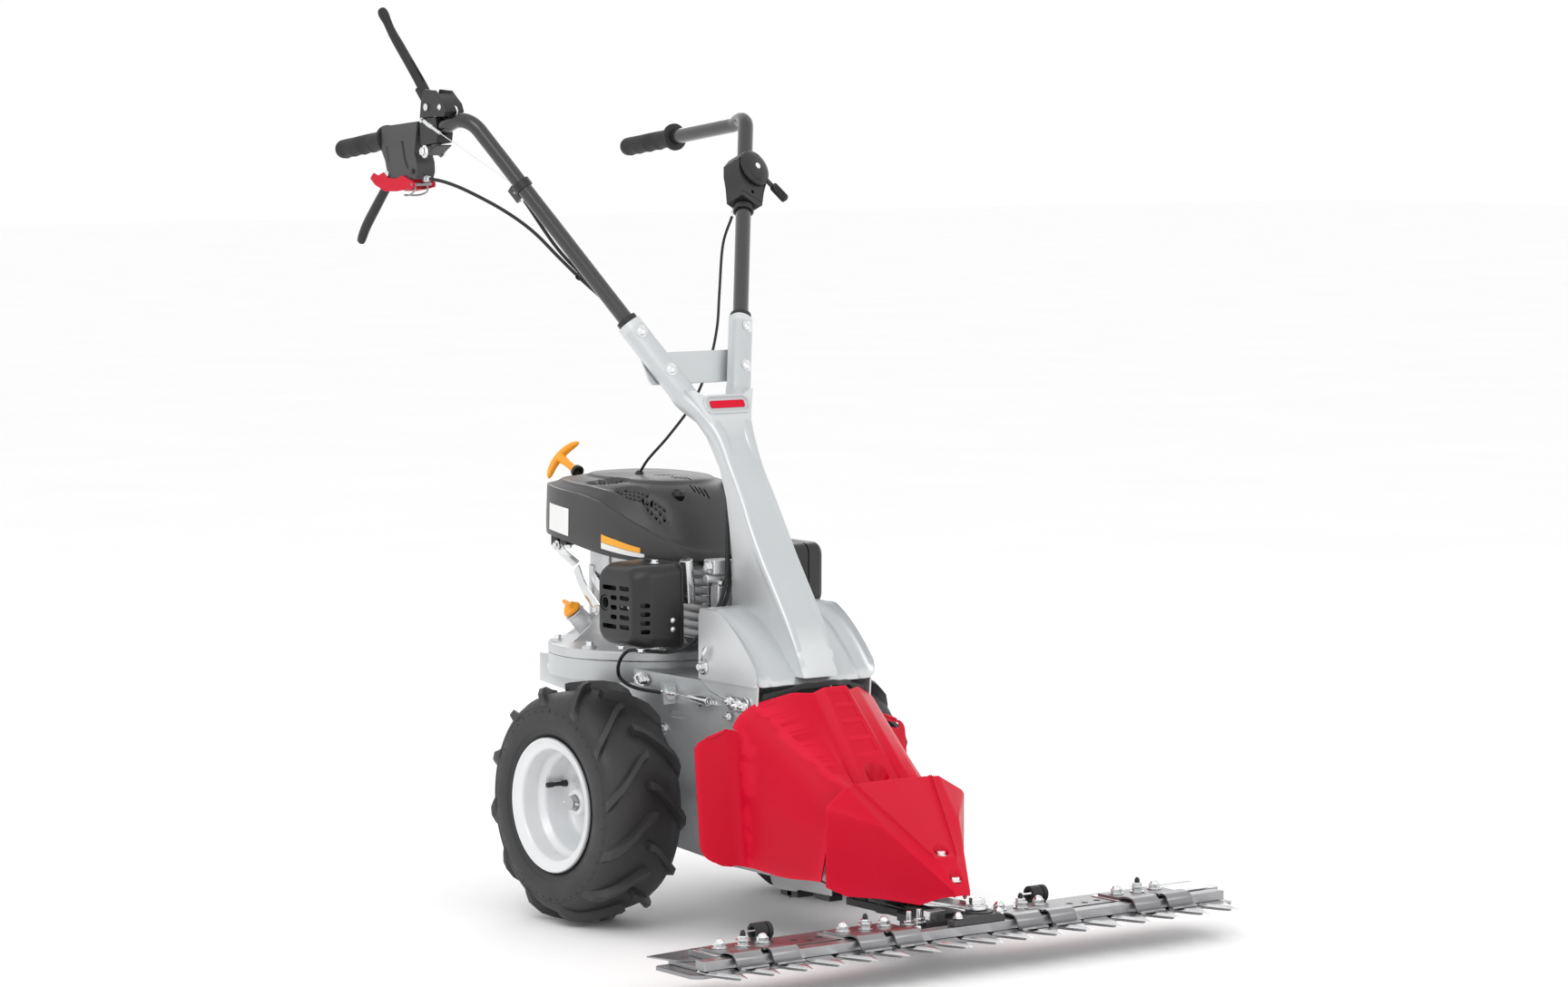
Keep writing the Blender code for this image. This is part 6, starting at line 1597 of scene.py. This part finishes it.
def make_hold_down(number, centre):
    """A sprung clip over the knife: two fingers, domed nuts, and a set screw with its locknut."""
    middle = [(-0.533, 0.0626), (-0.556, 0.0626), (-0.572, 0.0626), (-0.578, 0.0634), (-0.585, 0.0652),
              (-0.594, 0.0657), (-0.602, 0.0646), (-0.607, 0.061), (-0.6098, 0.0555), (-0.6122, 0.0514),
              (-0.6158, 0.0502), (-0.621, 0.05)]
    outline = thick_line([p.to_2d() for p in smooth([(y, z, 0) for y, z in middle], 40)], 0.0026)
    clip = slab_x(outline, centre - 0.05, centre + 0.05)
    tools = [block((centre - 0.007, -0.64, 0.03), (centre + 0.007, -0.597, 0.08)),
             block((centre - 0.0018, -0.599, 0.03), (centre + 0.0018, -0.564, 0.08)),
             prism([(-0.052, 0.0135), (-0.0445, 0.0135), (-0.052, -0.002)], -0.03, 0.03, Z,
                   (centre, -0.533, 0.06), Y)]
    name = "hold_down_%d" % number
    piece(name + "_clip", cut(clip, *tools), STEEL, "frame", (name,), bevel=0.0005, angle=45)
    spacer = rounded(0.106, 0.056, 0.004, 4, (centre - 0.005, -0.554))
    piece(name + "_spacer", slab_z(spacer, 0.0602, 0.0611), ZINC)
    for k, side in enumerate((-1, 1)):
        piece("%s_nut_%d" % (name, k), cap_nut((centre + side * 0.0335, -0.552, 0.064)), ZINC, bevel=0.0003)
    at = Vector((centre, -0.5555, 0))
    screw = joined(rod(at + Z * 0.053, at + Z * 0.0815, 0.0036, 20, 0.0008),
                   revolve([(0.0802, 0), (0.0802, 0.003), (0.0835, 0.0022), (0.0835, 0)], 20, Z, at))
    piece(name + "_screw", screw, BLACK)
    nuts = joined(hex_head(at + Z * 0.064, Z, 0.0068, 0.0042), hex_head(at + Z * 0.0706, Z, 0.0066, 0.005))
    piece(name + "_locknut", nuts, ZINC, bevel=0.0003)


def make_clip(name, x, y):
    """A black rubber clip: a split sleeve with a groove, lying along the bar on a foot."""
    profile = [(0, 0.0068), (0, 0.0108), (0.0008, 0.0116), (0.0165, 0.0116), (0.0168, 0.0102), (0.019, 0.0102),
               (0.0193, 0.0116), (0.0252, 0.0116), (0.026, 0.0108), (0.026, 0.0068)]
    sleeve = revolve(profile, 36, X, (x - 0.013, y, 0.0722))
    split = block((x - 0.02, y + 0.004, 0.0705), (x + 0.02, y + 0.02, 0.0735))
    foot = block((x - 0.01, y - 0.009, 0.0601), (x + 0.01, y + 0.009, 0.064))
    piece(name, joined(cut(sleeve, split), foot), RUBBER, bevel=0.0006)


def make_drive_arm():
    """The zinc arm between the gear neck and the knife's block, with its pivot and large nut."""
    reach = (PIN - ARM_PIVOT).normalized()
    outline = []
    for centre, half, facing in ((ARM_PIVOT, 0.018, -1), (PIN, 0.015, 1)):
        for k in range(13):
            angle = math.pi * (k / 12 - 0.5)
            along = reach * math.cos(angle) * facing * half * 0.9
            across = Vector((-reach.y, reach.x, 0)) * math.sin(angle) * facing * half
            outline.append(tuple((centre + along + across).to_2d()))
    arm = slab_z(outline, ARM_PIVOT.z, ARM_PIVOT.z + 0.005)
    pivot = rod(ARM_PIVOT - Z * 0.022, ARM_PIVOT + Z * 0.0045, 0.0088, 28)
    pin = rod(PIN - Z * 0.0095, PIN + Z * 0.0045, 0.0058, 24)
    piece("drive_arm_plate", joined(arm, pivot, pin), ZINC, "drive_arm", ("drive_arm",), bevel=0.0008)
    washer = [(0, 0), (0, 0.0128), (0.0014, 0.0128), (0.0014, 0)]
    ring = [(0.0014, 0.0048), (0.0014, 0.0098), (0.0024, 0.0106), (0.0086, 0.0106), (0.0098, 0.0094),
            (0.0098, 0.0056)]
    stud = [(0, 0), (0, 0.0046), (0.0088, 0.0046), (0.0092, 0.0042), (0.0092, 0)]
    nut = joined(*(revolve(profile, sides, Z, PIN + Z * 0.0052)
                   for profile, sides in ((washer, 32), (ring, 6), (stud, 24))))
    piece("drive_arm_nut", nut, ZINC, "drive_arm", bevel=0.0004)
    piece("drive_arm_pivot_nut", hex_head(ARM_PIVOT + Z * 0.0052, Z, 0.01, 0.006), ZINC, "drive_arm")


def make_knife_drive():
    """The cast neck that carries the arm's pivot and the shaft's front bearing, bolted to the bar."""
    foot = slab_z([(-0.04, -0.532), (-0.042, -0.515), (-0.04, -0.49), (-0.024, -0.47), (-0.021, -0.425),
                  (-0.021, -0.356), (0.021, -0.356), (0.021, -0.425), (0.024, -0.47), (0.04, -0.49),
                  (0.042, -0.515), (0.04, -0.532)], 0.054, 0.064)
    boss = cut(prism(circle(0.0205, 40), 0.052, 0.0737, Z, (0, -0.425, 0)),
               prism(circle(0.0092, 28), 0.0515, 0.08, Z, (0, -0.425, 0)))
    riser = skin([[(x, y, z) for x, y in rounded(wide, deep, 0.006, 5, (0, -0.3785))]
                  for z, wide, deep in ((0.054, 0.04, 0.036), (0.075, 0.036, 0.034), (0.1, 0.044, 0.04),
                                        (0.11, 0.06, 0.046), (0.145, 0.06, 0.046))])
    riser = cut(riser, rod((0, -0.3905, KNIFE_DRIVE_Z), (0, -0.33, KNIFE_DRIVE_Z), 0.0073, 28),
                rod((0, -0.42, KNIFE_DRIVE_Z), (0, -0.397, KNIFE_DRIVE_Z), 0.013, 28))
    collar = ring_of(0.008, 0.019, 0.008, Y, (0, -0.356, KNIFE_DRIVE_Z), 36)
    pad = block((-0.04, -0.552, 0.0447), (0.04, -0.495, 0.06))
    ribs = [skin([[(side * x, y, z) for y, z in ((-0.4, 0.064), (-0.4, 0.0735), (-0.405, 0.07),
                                                 (-0.49, 0.0655), (-0.495, 0.064))] for x in (0.015, 0.019)])
            for side in (-1, 1)]
    piece("knife_drive_casting", joined(foot, boss, riser, collar, pad, *ribs), IRON, "frame",
          ("knife_drive_housing",), bevel=0.0012)
    boot = revolve([(0, 0.02), (0, 0.0215), (0.003, 0.0215), (0.005, 0.019), (0.007, 0.023), (0.009, 0.0215),
                    (0.012, 0.029), (0.014, 0.029), (0.018, 0.04), (0.02, 0.04), (0.02, 0.038),
                    (0.016, 0.027)], 40, Z, (0, -0.472, 0.082))
    piece("knife_drive_boot", boot, RUBBER, bevel=0.0004)
    piece("clamp_block", block((-0.033, -0.55, 0.0602), (-0.007, -0.536, 0.0736)), ZINC, bevel=0.001)
    for k, (x, y) in enumerate(((-0.066, -0.548), (-0.0455, -0.543), (0.06, -0.545))):
        post = joined(rod((x, y, 0.044), (x, y, 0.078), 0.0034, 20, 0.0006),
                      hex_head((x, y, 0.06), Z, 0.0066, 0.0048), hex_head((x, y, 0.0445), Z, 0.0066, 0.01))
        piece("bar_bolt_%d" % k, post, ZINC, bevel=0.0003)
    # A thin dark steel sheet on the chassis side under the hood: painted shade, standing where the silver chassis
    # lies in shadow.
    side = -0.0985
    outline = [(-0.29, 0.1), (-0.296, 0.084), (-0.306, 0.0765), (-0.35, 0.079), (-0.356, 0.082),
               (-0.428, 0.0838), (-0.428, 0.096), (-0.396, 0.101), (-0.389, 0.105), (-0.383, 0.1)]
    piece("belly_shade_plate", slab_x(outline, side - 0.0015, side), STEEL, bevel=0.0004)
    feet = joined(block((-0.0975, -0.35, 0.07), (-0.07, -0.312, 0.0795)),
                  rod((-0.0975, -0.332, 0.074), (-0.06, -0.332, 0.074), 0.006, 20),
                  block((-0.096, -0.418, 0.074), (-0.074, -0.386, 0.083)))
    piece("belly_stop", feet, BLACK, bevel=0.0012)


def make_cutter_bar():
    """Everything in front of the chassis and under the hood."""
    make_fingers()
    make_knife()
    for number, centre in enumerate(HOLD_DOWNS, 1):
        make_hold_down(number, centre)
    make_clip("bar_clip_right", -0.2866, -0.5235)
    make_clip("bar_clip_left", 0.1681, -0.5235)
    make_knife_drive()
    make_drive_arm()


# Floor, light and camera

def make_stage():
    """A wide pale floor under an even white sky."""
    floor = skin([[(x, y, 0) for x, y in ((-30, -30), (30, -30), (30, 30), (-30, 30))]], cap_last=False)
    mesh = bpy.data.meshes.new("floor")
    floor.to_mesh(mesh)
    floor.free()
    obj = bpy.data.objects.new("floor", mesh)
    obj.data.materials.append(make_look("floor_look", "silver_paint", (0.98, 0.98, 0.98), 0.9, tint=0.01,
                                        blotch=2, grain=60, bump=0.02))
    bpy.context.scene.collection.objects.link(obj)
    world = bpy.data.worlds.new("studio")
    bpy.context.scene.world = world
    world.use_nodes = True
    world.node_tree.nodes["Background"].inputs["Color"].default_value = (1, 1, 1, 1)
    world.node_tree.nodes["Background"].inputs["Strength"].default_value = 1.0


def add_light(name, at, target, size, watts):
    """A soft rectangular lamp that faces the target."""
    data = bpy.data.lights.new(name, "AREA")
    data.shape = "RECTANGLE"
    data.size, data.size_y = size
    data.energy = watts
    light = bpy.data.objects.new(name, data)
    bpy.context.scene.collection.objects.link(light)
    light.location = at
    light.rotation_euler = (Vector(target) - Vector(at)).to_track_quat("-Z", "Y").to_euler()


def make_camera():
    """A long lens from the machine's front right, a little above the height of the engine."""
    azimuth, pitch = math.radians(-36.78), math.radians(4.985)
    right = Vector((math.cos(azimuth), math.sin(azimuth), 0))
    back = Vector((math.sin(azimuth) * math.cos(pitch), -math.cos(azimuth) * math.cos(pitch), math.sin(pitch)))
    turn = Matrix((right, back.cross(right), back)).transposed().to_4x4()
    data = bpy.data.cameras.new("camera")
    data.sensor_width, data.lens = 36.0, 106.1
    camera = bpy.data.objects.new("camera", data)
    bpy.context.scene.collection.objects.link(camera)
    camera.matrix_world = Matrix.Translation(Vector((-3.7316, -5.1817, 1.1349)) + AXLE_SHIFT) @ turn
    bpy.context.scene.camera = camera


bpy.context.scene.view_settings.view_transform = "Standard"
make_camera()
make_stage()
middle = (0, 0, 0.5)
add_light("key_light", (-2.6, -1.6, 3.2), middle, (2.0, 2.0), 32)
add_light("front_light", (0.8, -4.2, 1.8), middle, (2.2, 1.4), 18)
add_light("rear_light", (2.4, 2.8, 2.4), middle, (2.2, 1.8), 22)
dress_cad_nodes()
for hand in (RIGHT, LEFT):
    make_tyre(hand)
    make_rim(hand)
make_hood_main()
make_hood_nose()
make_mast()
make_seal()
make_chassis()
make_handlebars()
make_shroud()
make_guard()
make_crankcase()
make_cylinder()
make_intake()
make_starter()
make_clutch_lever()
make_drive_lever()
make_throttle()
make_cables()
make_linkage()
make_cutter_bar()
